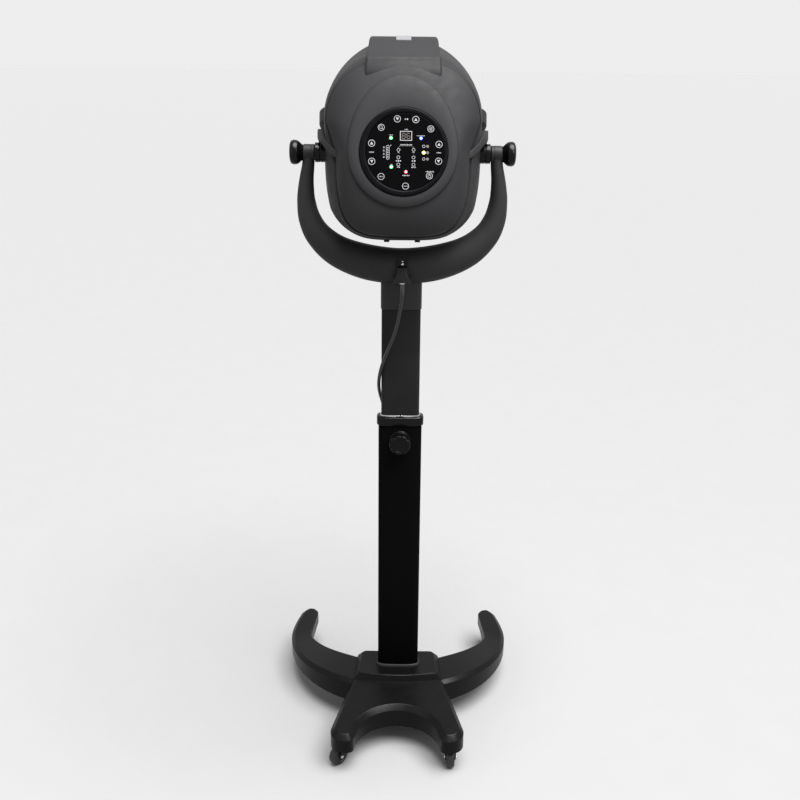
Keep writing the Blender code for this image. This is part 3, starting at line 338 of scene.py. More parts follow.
def turned(profile, steps=64, loop=False):
    """A body turned round Z from a (radius, height, rounding) profile."""
    angles = np.linspace(0, 2 * math.pi, steps, endpoint=False)
    return skin([[(r * math.cos(a), r * math.sin(a), z) for a in angles] for r, z in soft_profile(profile)],
                loop)


def prism(outline, low, high, bevel=0.0):
    levels = [(low, 0.0), (high, 0.0)]
    if bevel:
        levels = [(low, -bevel), (low + bevel, 0.0), (high - bevel, 0.0), (high - 0.3 * bevel, -0.3 * bevel),
                  (high, -bevel)]
    return skin([at_height(offset(outline, by) if by else outline, z) for z, by in levels])


# ---------------------------------------------------------------- finishes
def finish(name, colour, roughness, metallic=0.0, grain=1400.0, relief=0.05, mottle=0.1, rub=0.06,
           speckle=0.0, shine=0.25):
    """A moulded or painted surface: fine grain in its relief, soft colour drift and uneven gloss."""
    made = bpy.data.materials.new(name)
    made.use_nodes = True
    nodes, links = made.node_tree.nodes, made.node_tree.links
    shader = nodes["Principled BSDF"]
    shader.inputs["Metallic"].default_value = metallic
    shader.inputs["Specular IOR Level"].default_value = shine
    where = nodes.new("ShaderNodeTexCoord").outputs["Object"]

    def noise(scale, detail):
        texture = nodes.new("ShaderNodeTexNoise")
        texture.inputs["Scale"].default_value = scale
        texture.inputs["Detail"].default_value = detail
        links.new(where, texture.inputs["Vector"])
        return texture.outputs["Fac"]

    def ranged(value, low, high, from_low=0.3, from_high=0.7):
        node = nodes.new("ShaderNodeMapRange")
        node.inputs["From Min"].default_value = from_low
        node.inputs["From Max"].default_value = from_high
        node.inputs["To Min"].default_value = low
        node.inputs["To Max"].default_value = high
        links.new(value, node.inputs["Value"])
        return node.outputs["Result"]

    fine = noise(grain, 2.0)
    drift = noise(9.0, 4.0)
    ramp = nodes.new("ShaderNodeValToRGB")
    ramp.color_ramp.elements[0].position = 0.25
    ramp.color_ramp.elements[1].position = 0.75
    ramp.color_ramp.elements[0].color = (*[c * (1 - mottle) for c in colour], 1.0)
    ramp.color_ramp.elements[1].color = (*[c * (1 + mottle) for c in colour], 1.0)
    if speckle:
        mix = nodes.new("ShaderNodeMath")
        mix.operation = "MULTIPLY_ADD"
        mix.inputs[1].default_value = speckle
        links.new(fine, mix.inputs[0])
        links.new(ranged(drift, 0.0, 1.0 - speckle), mix.inputs[2])
        links.new(mix.outputs["Value"], ramp.inputs["Fac"])
    else:
        links.new(drift, ramp.inputs["Fac"])
    links.new(ramp.outputs["Color"], shader.inputs["Base Color"])
    links.new(ranged(noise(55.0, 5.0), roughness - rub, roughness + rub), shader.inputs["Roughness"])
    bump = nodes.new("ShaderNodeBump")
    bump.inputs["Strength"].default_value = 1.0
    bump.inputs["Distance"].default_value = relief * 0.001
    links.new(fine, bump.inputs["Height"])
    links.new(bump.outputs["Normal"], shader.inputs["Normal"])
    return made


def light_finish(name, colour, strength):
    made = finish(name, colour, 0.35, relief=0.0)
    shader = made.node_tree.nodes["Principled BSDF"]
    shader.inputs["Emission Color"].default_value = (*colour, 1.0)
    shader.inputs["Emission Strength"].default_value = strength
    return made


def make_finishes():
    return {
        "shell": finish("shell_plastic", (0.0132, 0.0126, 0.0136), 0.56, relief=0.1, mottle=0.06, shine=0.12),
        "yoke": finish("yoke_plastic", (0.0155, 0.0151, 0.0156), 0.58, grain=900, relief=0.2, speckle=0.4,
                       shine=0.15),
        "hub": finish("hub_plastic", (0.0125, 0.0122, 0.0126), 0.5, grain=1200, relief=0.08, shine=0.15),
        "gloss": finish("gloss_plastic", (0.0018, 0.0018, 0.002), 0.22, grain=400, relief=0.012, rub=0.03,
                        shine=0.14),
        "knob": finish("knob_plastic", (0.0018, 0.0018, 0.0019), 0.3, grain=700, relief=0.03, shine=0.1),
        "paint": finish("column_paint", (0.0012, 0.0012, 0.0013), 0.5, relief=0.05, shine=0.02),
        "powder": finish("powder_coat", (0.0082, 0.0079, 0.0081), 0.5, relief=0.2, mottle=0.25, speckle=0.6,
                         shine=0.08),
        "sleeve": finish("sleeve_coat", (0.012, 0.0117, 0.0119), 0.42, grain=900, relief=0.25, mottle=0.3,
                         speckle=0.6, shine=0.2),
        "cover": finish("cover_plastic", (0.002, 0.0018, 0.002), 0.32, grain=500, relief=0.03, rub=0.05,
                        shine=0.1),
        "glass": finish("panel_glass", (0.001, 0.001, 0.0012), 0.16, grain=200, relief=0.0, rub=0.03,
                        shine=0.038),
        "bezel": finish("bezel_plastic", (0.0012, 0.0012, 0.0018), 0.36, grain=900, relief=0.02, shine=0.052),
        "print": light_finish("panel_print", (0.25, 0.25, 0.26), 0.0),
        "digit": light_finish("display_digits", (0.1, 0.085, 0.075), 0.0),
        "green": light_finish("led_green", (0.02, 0.55, 0.12), 1.3),
        "blue": light_finish("led_blue", (0.03, 0.08, 0.85), 2.0),
        "yellow": light_finish("led_yellow", (0.7, 0.62, 0.04), 0.9),
        "red": light_finish("led_red", (0.8, 0.02, 0.05), 1.6),
        "lit": light_finish("led_core", (1.0, 1.0, 1.0), 1.2),
        "board": finish("circuit_board", (0.02, 0.12, 0.05), 0.45),
        "liner": finish("liner_plastic", (0.045, 0.045, 0.047), 0.5, grain=1200, relief=0.06),
        "rubber": finish("soft_rubber", (0.0065, 0.0065, 0.0066), 0.7, grain=800, relief=0.12),
        "wheel": finish("wheel_tread", (0.006, 0.006, 0.0063), 0.42, grain=600, relief=0.06, shine=0.4),
        "steel": finish("bright_steel", (0.52, 0.5, 0.48), 0.26, metallic=1.0, grain=260, relief=0.02,
                        rub=0.08),
        "iron": finish("cast_iron", (0.05, 0.05, 0.052), 0.7, metallic=0.6, grain=300, relief=0.3),
        "wire": finish("heater_wire", (0.4, 0.33, 0.28), 0.45, metallic=1.0),
        "cord": finish("cord_sheath", (0.004, 0.004, 0.0041), 0.28, grain=900, relief=0.03, shine=0.45),
        # painted sheen: the boot's base colour is a lighter grey than the cord's, standing in for the sheen
        # of light on it
        "boot": finish("cord_boot", (0.022, 0.022, 0.0224), 0.36, grain=900, relief=0.05, shine=0.5),
        "grille": finish("grille_plastic", (0.012, 0.012, 0.0125), 0.5),
        "label": finish("blank_label", (0.135, 0.13, 0.14), 0.4, grain=300, relief=0.02, mottle=0.05),
    }


# ---------------------------------------------------------------- stage, lights and camera
def make_stage():
    floor = bpy.data.objects.new("floor", bpy.data.meshes.new("floor"))
    floor.data.from_pydata([(-30, -12, 0), (30, -12, 0), (30, 40, 0), (-30, 40, 0)], [], [(0, 1, 2, 3)])
    floor.data.materials.append(finish("pale_floor", (0.188, 0.188, 0.188), 0.7, grain=40, relief=0.0,
                                       mottle=0.01, shine=0.1))
    bpy.context.scene.collection.objects.link(floor)

    world = bpy.data.worlds.new("studio")
    world.use_nodes = True
    world.node_tree.nodes["Background"].inputs["Color"].default_value = (1.0, 1.0, 1.0, 1.0)
    world.node_tree.nodes["Background"].inputs["Strength"].default_value = 0.85
    bpy.context.scene.world = world
    bpy.context.scene.view_settings.view_transform = "Standard"

    sun = bpy.data.lights.new("sky", "SUN")
    sun.energy = 11.5
    sun.angle = math.radians(50)
    lamps = [(sun, Vector((0.22, -0.2, 1.0)))]
    areas = (("key", (1.5, -1.5, 2.6), 1.2, 34.0), ("fill", (-2.2, -1.8, 2.2), 1.4, 8.0))
    for name, spot, size, power in areas:
        lamp = bpy.data.lights.new(name, "AREA")
        lamp.size, lamp.energy = size, power
        lamps.append((lamp, Vector(spot)))
    for lamp, spot in lamps:
        holder = bpy.data.objects.new(lamp.name, lamp)
        holder.location = spot
        towards = spot if lamp.type == "SUN" else spot - Vector((0.0, COLUMN_Y, 1.35))
        holder.rotation_euler = towards.to_track_quat("Z", "Y").to_euler()
        bpy.context.scene.collection.objects.link(holder)


def make_camera():
    lens = bpy.data.cameras.new("camera")
    lens.sensor_width = 36.0
    lens.lens = 46.35
    camera = bpy.data.objects.new("camera", lens)
    tilt = Matrix.Rotation(math.radians(70), 4, "X") @ Matrix.Rotation(math.radians(0.55), 4, "Z")
    camera.matrix_world = Matrix.Translation((-0.0007, -2.3155, 1.695)) @ tilt
    bpy.context.scene.collection.objects.link(camera)
    bpy.context.scene.camera = camera


# ---------------------------------------------------------------- cord, relative to the column's axis
CORD_RADIUS = 0.004
CORD_ROUTE = (
    (0.002, -0.047, 1.157), (0.0015, -0.0475, 1.14), (0.001, -0.0475, 1.12), (-0.002, -0.046, 1.098),
    (-0.007, -0.043, 1.068), (-0.017, -0.038, 1.03), (-0.032, -0.032, 0.99),
    (-0.044, -0.024, 0.954), (-0.0495, -0.011, 0.924), (-0.0508, 0.004, 0.899),
    (-0.0485, 0.019, 0.876), (-0.042, 0.03, 0.848), (-0.032, 0.0345, 0.815), (-0.024, 0.034, 0.76),
    (-0.02, 0.033, 0.66), (-0.018, 0.033, 0.54), (-0.018, 0.035, 0.42), (-0.019, 0.041, 0.3),
    (-0.022, 0.057, 0.2), (-0.027, 0.074, 0.14), (-0.035, 0.083, 0.085), (-0.042, 0.093, 0.047),
    (-0.045, 0.108, 0.027),
)
LEAD_ROUTE = (
    (0.024, 0.1875, 0.0056), (0.042, 0.186, 0.0056), (0.059, 0.181, 0.0058), (0.072, 0.169, 0.007),
    (0.0785, 0.159, 0.0095), (0.0795, 0.153, 0.011), (0.0795, 0.1475, 0.011),
)
COIL_CENTRE = (0.0, 0.13)
COIL_INNER_TURN = 0.0351  # radius of the innermost turn's centreline
COIL_PITCH = 0.0092
COIL_TURNS = 3.97  # half of them in each layer
STEP_DOWN = 0.34  # of a turn, in which the cord goes down to the lower layer
COIL_START = 120.0  # degrees; the turns run clockwise seen from above
LOW_TURN = 0.0052
HIGH_TURN = 0.0136
PLUG_PLACE = (0.0795, 0.147, 0.011)
BOOT_TOP = 1.16
BOOT_LENGTH = 0.03


def coil_point(angle, radius, z):
    a = math.radians(angle)
    return (COIL_CENTRE[0] + radius * math.cos(a), COIL_CENTRE[1] + radius * math.sin(a), z)


def cord_route():
    """The route from the gland to the coil, the coil's two layers of turns, and the lead to the plug."""
    points = list(CORD_ROUTE)
    points += [coil_point(178, 0.0515, 0.0195), coil_point(150, 0.0522, 0.015)]
    steps = 96
    for i in range(steps + 1):
        turn = COIL_TURNS * (i / steps - 0.5)
        radius = COIL_INNER_TURN + COIL_PITCH * max(0.0, abs(turn) - STEP_DOWN / 2)
        z = HIGH_TURN + (LOW_TURN - HIGH_TURN) * eased(clamp(turn / STEP_DOWN + 0.5))
        points.append(coil_point(COIL_START - 360.0 * COIL_TURNS * i / steps, radius, z))
    points.append(coil_point(98, 0.0562, LOW_TURN))
    points += LEAD_ROUTE
    return smooth_curve(points, 640)


def swept(route, section):
    """A body along a route, with a section of (side, up) points."""
    route = [Vector(p) for p in route]
    ways = [(b - a).normalized() for a, b in zip(route[:1] + route[:-1], route[1:] + route[-1:])]
    side = ways[0].orthogonal().normalized()
    rings = []
    for here, way in zip(route, ways):
        side = (side - way * side.dot(way)).normalized()
        up = way.cross(side)
        rings.append([here + side * a + up * b for a, b in section])
    return skin(rings)


def make_cord(look):
    route = cord_route()
    cord = place("power_cord", to_mesh("power_cord", swept(route, circle(CORD_RADIUS, 16)), COLUMN),
                 look["cord"], None, ("power_cord", "plug_lead", "cord_coil"))
    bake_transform(cord)

    # boot: tapered, ribbed strain relief under the gland; its lighter grey colour is a painted sheen
    levels = []
    for i in range(25):
        share = i / 24
        rib = 0.0004 if i % 4 < 2 and 3 < i < 22 else 0.0
        levels.append((0.0053 - 0.0009 * share - rib, BOOT_TOP - BOOT_LENGTH * share, 0.0002))
    bore = CORD_RADIUS + 0.0001
    levels += [(bore, BOOT_TOP - BOOT_LENGTH, 0.0), (bore, BOOT_TOP, 0.0)]
    boot_at = COLUMN @ Matrix.Translation((*CORD_ROUTE[0][:2], 0.0))
    boot = add("cord_boot", turned(levels, 32, True), boot_at, look["boot"], "mast")
    gland = ((0.0044, 1.156, 0), (0.006, 1.156, 0.0006), (0.0064, 1.158, 0.0004), (0.0064, 1.174, 0.0006),
             (0.0044, 1.174, 0))
    show("cord_gland", turned(gland, 6, True), boot_at, look["steel"], "mast", 20)

    plug = make_plug(look)
    tie = make_tie(look)


def make_plug(look):
    """Moulded plug with a ribbed tail; its blades are a piece of their own."""
    rings, depths = [], []
    for i in range(23):
        radius = 0.0048 + 0.00007 * i - (0.0009 if i % 4 < 2 and i > 3 else 0.0)
        rings.append(rounded_box(radius, radius * 0.97, radius * 0.6))
        depths.append(0.001 * i)
    grip = ((0.024, 0.0085, 0.0072), (0.0262, 0.0112, 0.0085), (0.03, 0.0121, 0.0089),
            (0.038, 0.0127, 0.0094), (0.0462, 0.0131, 0.0098), (0.0474, 0.0128, 0.0095),
            (0.048, 0.0119, 0.0086))
    for y, half_width, half_height in grip:
        rings.append(rounded_box(half_width, half_height, half_height * 0.62))
        depths.append(y)
    rings = [[(x, -y, z) for x, z in ring] for ring, y in zip(rings, depths)]
    matrix = COLUMN @ Matrix.Translation(PLUG_PLACE)
    plug = show("mains_plug", skin(rings), matrix, look["rubber"], "base")
    blades = bmesh.new()
    for sx in (-1, 1):
        skin([[(sx * 0.0064 + x * w, y, z * w) for x, z in rounded_box(0.0008, 0.0031, 0.0003, 3)]
              for y, w in ((-0.047, 1.0), (-0.0625, 1.0), (-0.064, 0.55))], bm=blades)
    add("plug_blades", blades, matrix, look["steel"], "base")
    return plug


def make_tie(look):
    """Strap round the bundle, thicker along its middle."""
    low, high, corner = 0.0009, 0.0187, 0.004
    inner = rounded([(-0.0577, low, corner), (-0.03, low, corner), (-0.03, high, corner),
                     (-0.0577, high, corner)], 5)
    rings = []
    for x, thick in ((-0.0069, 0.0007), (-0.0062, 0.0009), (0.0062, 0.0009), (0.0069, 0.0007), (0.0069, 0.0),
                     (-0.0069, 0.0)):
        rings.append([(x, y, z) for y, z in offset(inner, thick)])
    bm = skin(rings, loop=True)
    matrix = COLUMN @ Matrix.Translation((*COIL_CENTRE, 0.0))
    return show("coil_tie", bm, matrix, look["rubber"], "base")


# ---------------------------------------------------------------- hood surface, in the hood's own frame
COLUMNS = 160  # points round each ring of the hood
# centre height, half width, height above, depth below, squareness above and below, taper towards the bottom,
# and y at the top, at the sides and at the bottom, or one y for the whole row
EGG_ROWS = (
    (PANEL_Z, PANEL_HOLE, PANEL_HOLE, PANEL_HOLE, 2.0, 2.0, 0.0, -0.152),
    (PANEL_Z, PANEL_HOLE, PANEL_HOLE, PANEL_HOLE, 2.0, 2.0, 0.0, -0.1548),
    (PANEL_Z, 0.091, 0.0912, 0.091, 2.0, 2.0, 0.0, -0.1557),
    (PANEL_Z, 0.095, 0.0985, 0.095, 2.0, 2.0, 0.0, -0.156),
    (EGG_Z, 0.103, 0.129, 0.105, 2.0, 2.0, 0.0, -0.1528, -0.1553, -0.1548),
    (EGG_Z, 0.1085, 0.152, 0.111, 2.0, 2.0, 0.0, -0.147, -0.154, -0.1528),
    (EGG_Z, 0.1105, 0.1545, 0.113, 2.0, 2.0, 0.0, -0.1456, -0.153, -0.1516),
    (EGG_Z, 0.1113, 0.1553, 0.1138, 2.0, 2.0, 0.0, -0.144, -0.1515, -0.15),
    (EGG_Z, 0.1118, 0.1559, 0.1143, 2.0, 2.0, 0.0, -0.1412, -0.1488, -0.147),
    (EGG_Z, 0.113, 0.157, 0.1155, 2.0, 2.0, 0.0, -0.14, -0.1476, -0.1456),
)
CREASE_ROW = (0.03, 0.157, 0.135, 0.227, 2.4, 4.0, 0.0, -0.12, -0.115, -0.115)
FLANK_ROWS = (
    (0.03, 0.1578, 0.1358, 0.2277, 2.4, 4.0, 0.0, -0.1165, -0.111, -0.1105),
    (0.03, 0.1586, 0.1367, 0.2283, 2.4, 4.0, 0.0, -0.1105, -0.1045, -0.104),
    (0.03, 0.1598, 0.1381, 0.229, 2.4, 4.0, 0.0, -0.109, -0.103, -0.1025),
    (0.03, 0.1616, 0.14, 0.23, 2.3, 4.0, 0.0, -0.11, -0.104, -0.1035),
    (0.035, 0.1642, 0.145, 0.236, 2.3, 4.0, 0.09, -0.101, -0.095, -0.095),
    (0.045, 0.1662, 0.1518, 0.2465, 2.2, 4.0, 0.1, -0.082, -0.077, -0.078),
    (0.064, 0.168, 0.1528, 0.262, 2.1, 4.0, 0.08, -0.045),
    (0.0928, 0.17, 0.159, 0.2888, 2.0, 4.0, 0.0, 0.022),
)
WAIST_TOP = 0.045
WAIST_EASE = 0.08  # how far below its top the waist reaches its full depth
WAISTS = (0.13, 0.13, 0.13, 0.126, 0.116, 0.055, 0.025, 0.0, 0.0)  # of the crease and the flank's rows
DOME_ROWS = (
    (0.0928, 0.17, 0.159, 0.2888, 2.0, 4.0, 0.0, 0.022),
    (0.0928, 0.174, 0.182, 0.28, 2.0, 3.6, 0.0, 0.07),
    (0.0928, 0.169, 0.178, 0.25, 2.0, 3.2, 0.0, 0.12),
    (0.0928, 0.153, 0.156, 0.21, 2.0, 2.8, 0.0, 0.16),
    (0.0928, 0.126, 0.117, 0.16, 2.0, 2.4, 0.0, 0.188),
    (0.0928, 0.088, 0.077, 0.105, 2.0, 2.0, 0.0, 0.202),
    (0.0928, 0.042, 0.035, 0.045, 2.0, 2.0, 0.0, 0.207),
    (0.0928, 0.004, 0.004, 0.004, 2.0, 2.0, 0.0, 0.208),
)
LINER_ROWS = (
    (0.05, 0.005, 0.005, 0.006, 2.0, 2.0, 0.0, -0.079),
    (0.05, 0.09, 0.085, 0.16, 2.2, 2.6, 0.0, -0.07, -0.075, -0.0846),
    (0.07, 0.125, 0.102, 0.205, 2.2, 3.2, 0.0, -0.0597, -0.0658, -0.0781),
    (0.085, 0.148, 0.122, 0.242, 2.1, 3.6, 0.0, -0.0359, -0.0383, -0.0431),
    (0.09, 0.157, 0.148, 0.26, 2.0, 3.8, 0.0, 0.03),
    (0.09, 0.15, 0.148, 0.24, 2.0, 3.4, 0.0, 0.1),
    (0.09, 0.13, 0.124, 0.19, 2.0, 2.8, 0.0, 0.15),
    (0.09, 0.09, 0.085, 0.13, 2.0, 2.2, 0.0, 0.178),
    (0.09, 0.005, 0.005, 0.006, 2.0, 2.0, 0.0, 0.186),
)


def hood_ring(row):
    """Points round one ring of the hood, as an array; the first ones are at the top."""
    centre, half_width, up, down, power_up, power_down, taper, *ends = row
    y_top, y_side, y_bottom = ends if len(ends) == 3 else ends * 3
    ring = []
    for i in range(COLUMNS):
        a = 2 * math.pi * (i + 0.5) / COLUMNS
        s, c = math.sin(a), math.cos(a)
        power, reach, y_end = (power_up, up, y_top) if c > 0 else (power_down, down, y_bottom)
        x = half_width * math.copysign(abs(s) ** (2 / power), s)
        z = reach * math.copysign(abs(c) ** (2 / power), c)
        if z < 0:
            x *= 1 - taper * -z / down
        ring.append((x, y_side + (y_end - y_side) * (z / reach) ** 2, centre + z))
    return np.array(ring)


def even_ring(points):
    """The same closed ring with its points an even distance apart."""
    closed = np.vstack([points, points[:1]])
    run = np.concatenate([[0], np.cumsum(np.linalg.norm(np.diff(closed, axis=0), axis=1))])
    places = (np.arange(COLUMNS) + 0.5) / COLUMNS * run[-1] - 0.5 * run[-1] / COLUMNS
    return np.array([np.interp(places, run, column) for column in closed.T]).T


def back_rings():
    """The back shell's outer surface, from the panel's hole over the egg and the crease to the seam."""
    egg = [even_ring(hood_ring(row)) for row in EGG_ROWS]
    for ring in egg[:4]:
        ring[:, 0] += PANEL_X
    rows = []
    for row, waist in zip((CREASE_ROW, *FLANK_ROWS), WAISTS):
        ring = hood_ring(row)
        ring[:, 0] *= 1 - waist * eased(np.clip((WAIST_TOP - ring[:, 2]) / WAIST_EASE, 0, 1))
        rows.append(even_ring(ring))
    crease = rows[0]
    face = []
    for t in np.linspace(0, 1, 14)[1:]:
        row = egg[-1] * (1 - t) + crease * t
        row[:, 1] = egg[-1][:, 1] + (crease[:, 1] - egg[-1][:, 1]) * (0.45 * t + 0.55 * t**2.2)
        face.append(row)
    flank = rows[1:4] + between(rows[4:], 6)
    flank[-1] = flank[-1] - np.array([0, 0.0004, 0])
    return egg + face + flank


def dome_rings():
    return between([even_ring(hood_ring(row)) for row in DOME_ROWS], 7)


def liner_rings():
    return between([even_ring(hood_ring(row)) for row in LINER_ROWS], 6)


def thicken(shape, wall):
    """Gives a skin a wall on its inner side."""
    step = shape.modifiers.new("Solidify", "SOLIDIFY")
    step.thickness = wall
    step.offset = -1.0


def opening_plane(down=0.0):
    """A point on the head opening's plane, moved down along its normal, and the normal, which points up."""
    (y0, z0), (y1, z1) = NECK_EDGE, BROW_EDGE
    way = Vector((0.0, y1 - y0, z1 - z0)).normalized()
    normal = Vector((0.0, -way.z, way.y))
    return Vector((0.0, y0, z0)) - normal * down, normal


def trimmed(bm, down=0.0):
    start, normal = opening_plane(down)
    bmesh.ops.bisect_plane(bm, geom=bm.verts[:] + bm.edges[:] + bm.faces[:], dist=1e-6, plane_co=start,
                           plane_no=-normal, clear_outer=True)
    return bm


def opening_outline(rings, count=180):
    """Where the rings' surface meets the opening's plane: distances from the opening's middle, by angle."""
    start, normal = opening_plane()
    grid = np.array(rings)
    above = (grid - np.array(start)) @ np.array(normal)
    found = []
    for low, high, a, b in zip(grid[:-1], grid[1:], above[:-1], above[1:]):
        for i in np.nonzero(a * b < 0)[0]:
            found.append(low[i] + (high[i] - low[i]) * a[i] / (a[i] - b[i]))
    for ring, a in zip(grid, above):
        after, b = np.roll(ring, -1, axis=0), np.roll(a, -1)
        for i in np.nonzero(a * b < 0)[0]:
            found.append(ring[i] + (after[i] - ring[i]) * a[i] / (a[i] - b[i]))
    middle, along = opening_frame()
    found = np.array(found) - np.array(middle)
    across = found[:, 0]
    ahead = found @ np.array(along)
    angles = np.arctan2(ahead, across)
    order = np.argsort(angles)
    angles, reach = angles[order], np.hypot(across, ahead)[order]
    angles = np.concatenate([angles[-8:] - 2 * math.pi, angles, angles[:8] + 2 * math.pi])
    reach = np.concatenate([reach[-8:], reach, reach[:8]])
    return np.interp(np.linspace(-math.pi, math.pi, count, endpoint=False), angles, reach)


def opening_frame():
    """The opening's middle and the direction in its plane that points away from the panel."""
    (y0, z0), (y1, z1) = NECK_EDGE, BROW_EDGE
    along = Vector((0.0, y1 - y0, z1 - z0)).normalized()
    return opening_plane()[0] + along * OPENING_HALF, along


def make_shells(look):
    back = trimmed(skin(back_rings(), caps=False))
    shell = show("hood_back_shell", back, HOOD, look["shell"], "hood", 26)
    dome = trimmed(skin(dome_rings()))
    front = show("hood_front_shell", dome, HOOD, look["shell"], "hood", 26)
    for made in (shell, front):
        thicken(made, SHELL_WALL)
        soften(made, 0.0007, 60)

    bm = perforated(liner_rings())
    liner = show("hood_liner", trimmed(bm, -0.0005), HOOD, look["liner"], "hood", 40)
    thicken(liner, LINER_WALL)
    make_rim(look)


def perforated(rings):
    """A skin through the rings with eight-sided holes in its middle bands."""
    bm = skin(rings)
    bm.faces.ensure_lookup_table()
    count = len(rings[0])
    chosen = []
    for row in range(4, len(rings) - 6):
        for column in range(count):
            if row % 2 == 0 and (column + row) % 4 == 0:
                chosen.append(bm.faces[row * count + column])
    for face in chosen:
        corners = list(face.verts)
        middle = face.calc_center_median()
        holes = []
        for a, b in zip(corners, corners[1:] + corners[:1]):
            for share in (0.3, 0.7):
                holes.append(bm.verts.new(middle.lerp(a.co.lerp(b.co, share), 0.62)))
        bm.faces.remove(face)
        for k in range(4):
            a, b = corners[k], corners[(k + 1) % 4]
            bm.faces.new((a, b, holes[2 * k + 1], holes[2 * k]))
            bm.faces.new((a, holes[2 * k], holes[2 * k - 1]))
    return bm


def make_rim(look):
    """Rolled rim between the shells' edge and the liner, just inside the head opening."""
    outer = opening_outline(back_rings() + dome_rings()) - SHELL_WALL - RIM_GAP
    inner = opening_outline(liner_rings()) + RIM_GAP
    middle, along = opening_frame()
    _, normal = opening_plane()
    angles = np.linspace(-math.pi, math.pi, len(outer), endpoint=False)
    # share of the way from the outer to the inner edge, distance along it, and height above the opening
    profile = ((0.0, 0.0, 0.006), (0.0, 0.0, 0.0012), (0.0, 0.0006, 0.0003), (0.0, 0.003, -0.0008),
               (0.0, 0.005, 0.0), (0.0, 0.0062, 0.0016), (0.35, 0.0, 0.0024), (1.0, -0.005, 0.0024),
               (1.0, -0.004, 0.0008), (1.0, -0.0018, -0.0004), (1.0, -0.0003, 0.0008), (1.0, 0.0, 0.006),
               (0.5, 0.0, 0.0062))
    rings = []
    for share, inwards, rise in profile:
        ring = []
        for a, far, near in zip(angles, outer, inner):
            reach = far * (1 - share) + near * share - inwards
            ring.append(middle + Vector((math.cos(a), 0, 0)) * reach + along * math.sin(a) * reach
                        + normal * rise)
        rings.append(ring)
    show("hood_rim", skin(rings, loop=True), HOOD, look["gloss"], "hood", 50)


SCOOP_BOW = 0.017  # how far the front face curves back to its sides
SCOOP_BROW = 0.164  # the height at which that face begins
SCOOP_EASE = 0.04  # the drop in which it reaches its full bow
LABEL_PLACE = (-0.031, 0.237)
LABEL_SLOPE = (0.83, 0.56)  # y and z of the way up the scoop's top, towards the back


def make_scoop(look):
    """Raised air-intake housing on the crown, with a blank label and louvres in its rear end."""
    keys = ((0.045, 0.26, 0.069, 0.0, 0.05), (-0.015, 0.247, 0.074, 0.01, 0.06),
            (-0.07, 0.2085, 0.076, 0.028, 0.06), (-0.109, 0.18, 0.0777, 0.04, 0.058),
            (-0.1225, 0.17, 0.0783, 0.045, 0.048), (-0.1268, 0.1655, 0.0786, 0.045, 0.04),
            (-0.1305, 0.159, 0.079, 0.042, 0.036), (-0.1415, 0.142, 0.0802, 0.036, 0.028),
            (-0.1475, 0.129, 0.0812, 0.03, 0.022), (-0.1475, 0.1195, 0.0815, 0.026, 0.02),
            (-0.14, 0.108, 0.0815, 0.022, 0.016))
    rings = []
    for y, z, half, back, down in smooth_curve(keys, 70):
        bow = SCOOP_BOW * clamp((SCOOP_BROW - z) / SCOOP_EASE)
        outline = rounded([(-half, -down, 0.0), (half, -down, 0.0), (half - 0.001, 0.0, 0.0055),
                           (-half + 0.001, 0.0, 0.0055)], 6)
        ring = []
        for x, up in outline:
            arch = 0.0016 * (1 - (x / half) ** 2) if up > -0.006 else 0.0
            ring.append((x, y + bow * (x / half) ** 2 + back * clamp(-up / down), z + up + arch))
        rings.append(ring)
    show("intake_scoop", skin(rings), HOOD, look["shell"], "hood", 35)

    bm = bmesh.new()
    louvre = rounded_box(0.056, 0.0013, 0.0012, 4)
    for i in range(6):
        z = 0.2555 - 0.0052 * i
        skin([[(x, y, z + up) for x, up in louvre] for y in (0.044, 0.0462)], bm=bm)
    add("scoop_louvres", bm, HOOD, look["gloss"])

    label = rounded_box(0.016, 0.015, 0.0012, 4)
    (middle_y, middle_z), (run, rise) = LABEL_PLACE, LABEL_SLOPE
    label = skin([[(x, middle_y + v * run, middle_z + v * rise + level) for x, v in label]
                  for level in (0.001, 0.0026)])
    add("scoop_label", label, HOOD, look["label"])


def make_neck(look):
    """Slot strip and two pegs on the hood's lowest edge."""
    strip, pegs = bmesh.new(), bmesh.new()
    for bm, x, y, half_width, half_depth, levels in (
            (strip, 0.0, -0.102, 0.0215, 0.003, ((-0.1958, -0.0006), (-0.1952, 0.0), (-0.1918, 0.0))),
            (pegs, -0.0318, -0.072, 0.0058, 0.0045, ((-0.2035, -0.001), (-0.2027, 0.0), (-0.19, 0.0))),
            (pegs, 0.0325, -0.072, 0.0058, 0.0045, ((-0.2035, -0.001), (-0.2027, 0.0), (-0.19, 0.0)))):
        outline = rounded_box(half_width, half_depth, 0.0012, 4)
        skin([[(x + px, y + py, z) for px, py in offset(outline, by)] for z, by in levels], bm=bm)
    add("neck_strip", strip, HOOD, look["hub"])
    add("neck_pegs", pegs, HOOD, look["gloss"])


# ---------------------------------------------------------------- touch panel
PRINT_FOOT = 0.00142  # height over the panel's plane
PRINT_TOP = 0.0016


def flat(bm, outline, top=PRINT_TOP):
    """A thin raised shape; its outline, like all of the print's places and sizes, is in millimetres."""
    points = [(x / 1000, y / 1000) for x, y in outline]
    skin([at_height(points, PRINT_FOOT), at_height(points, top)], bm=bm)


def flat_ring(bm, x, y, radius, line, steps=40):
    rings = []
    for radius, levels in ((radius, (PRINT_FOOT, PRINT_TOP)), (radius - line, (PRINT_TOP, PRINT_FOOT))):
        for z in levels:
            rings.append([(px / 1000, py / 1000, z) for px, py in circle(radius, steps, (x, y))])
    skin(rings, loop=True, bm=bm)


def bar(bm, x, y, width, height, turn=0.0):
    c, s = math.cos(math.radians(turn)), math.sin(math.radians(turn))
    w, h = width / 2, height / 2
    flat(bm, [(x + c * a - s * b, y + s * a + c * b) for a, b in ((-w, -h), (w, -h), (w, h), (-w, h))])


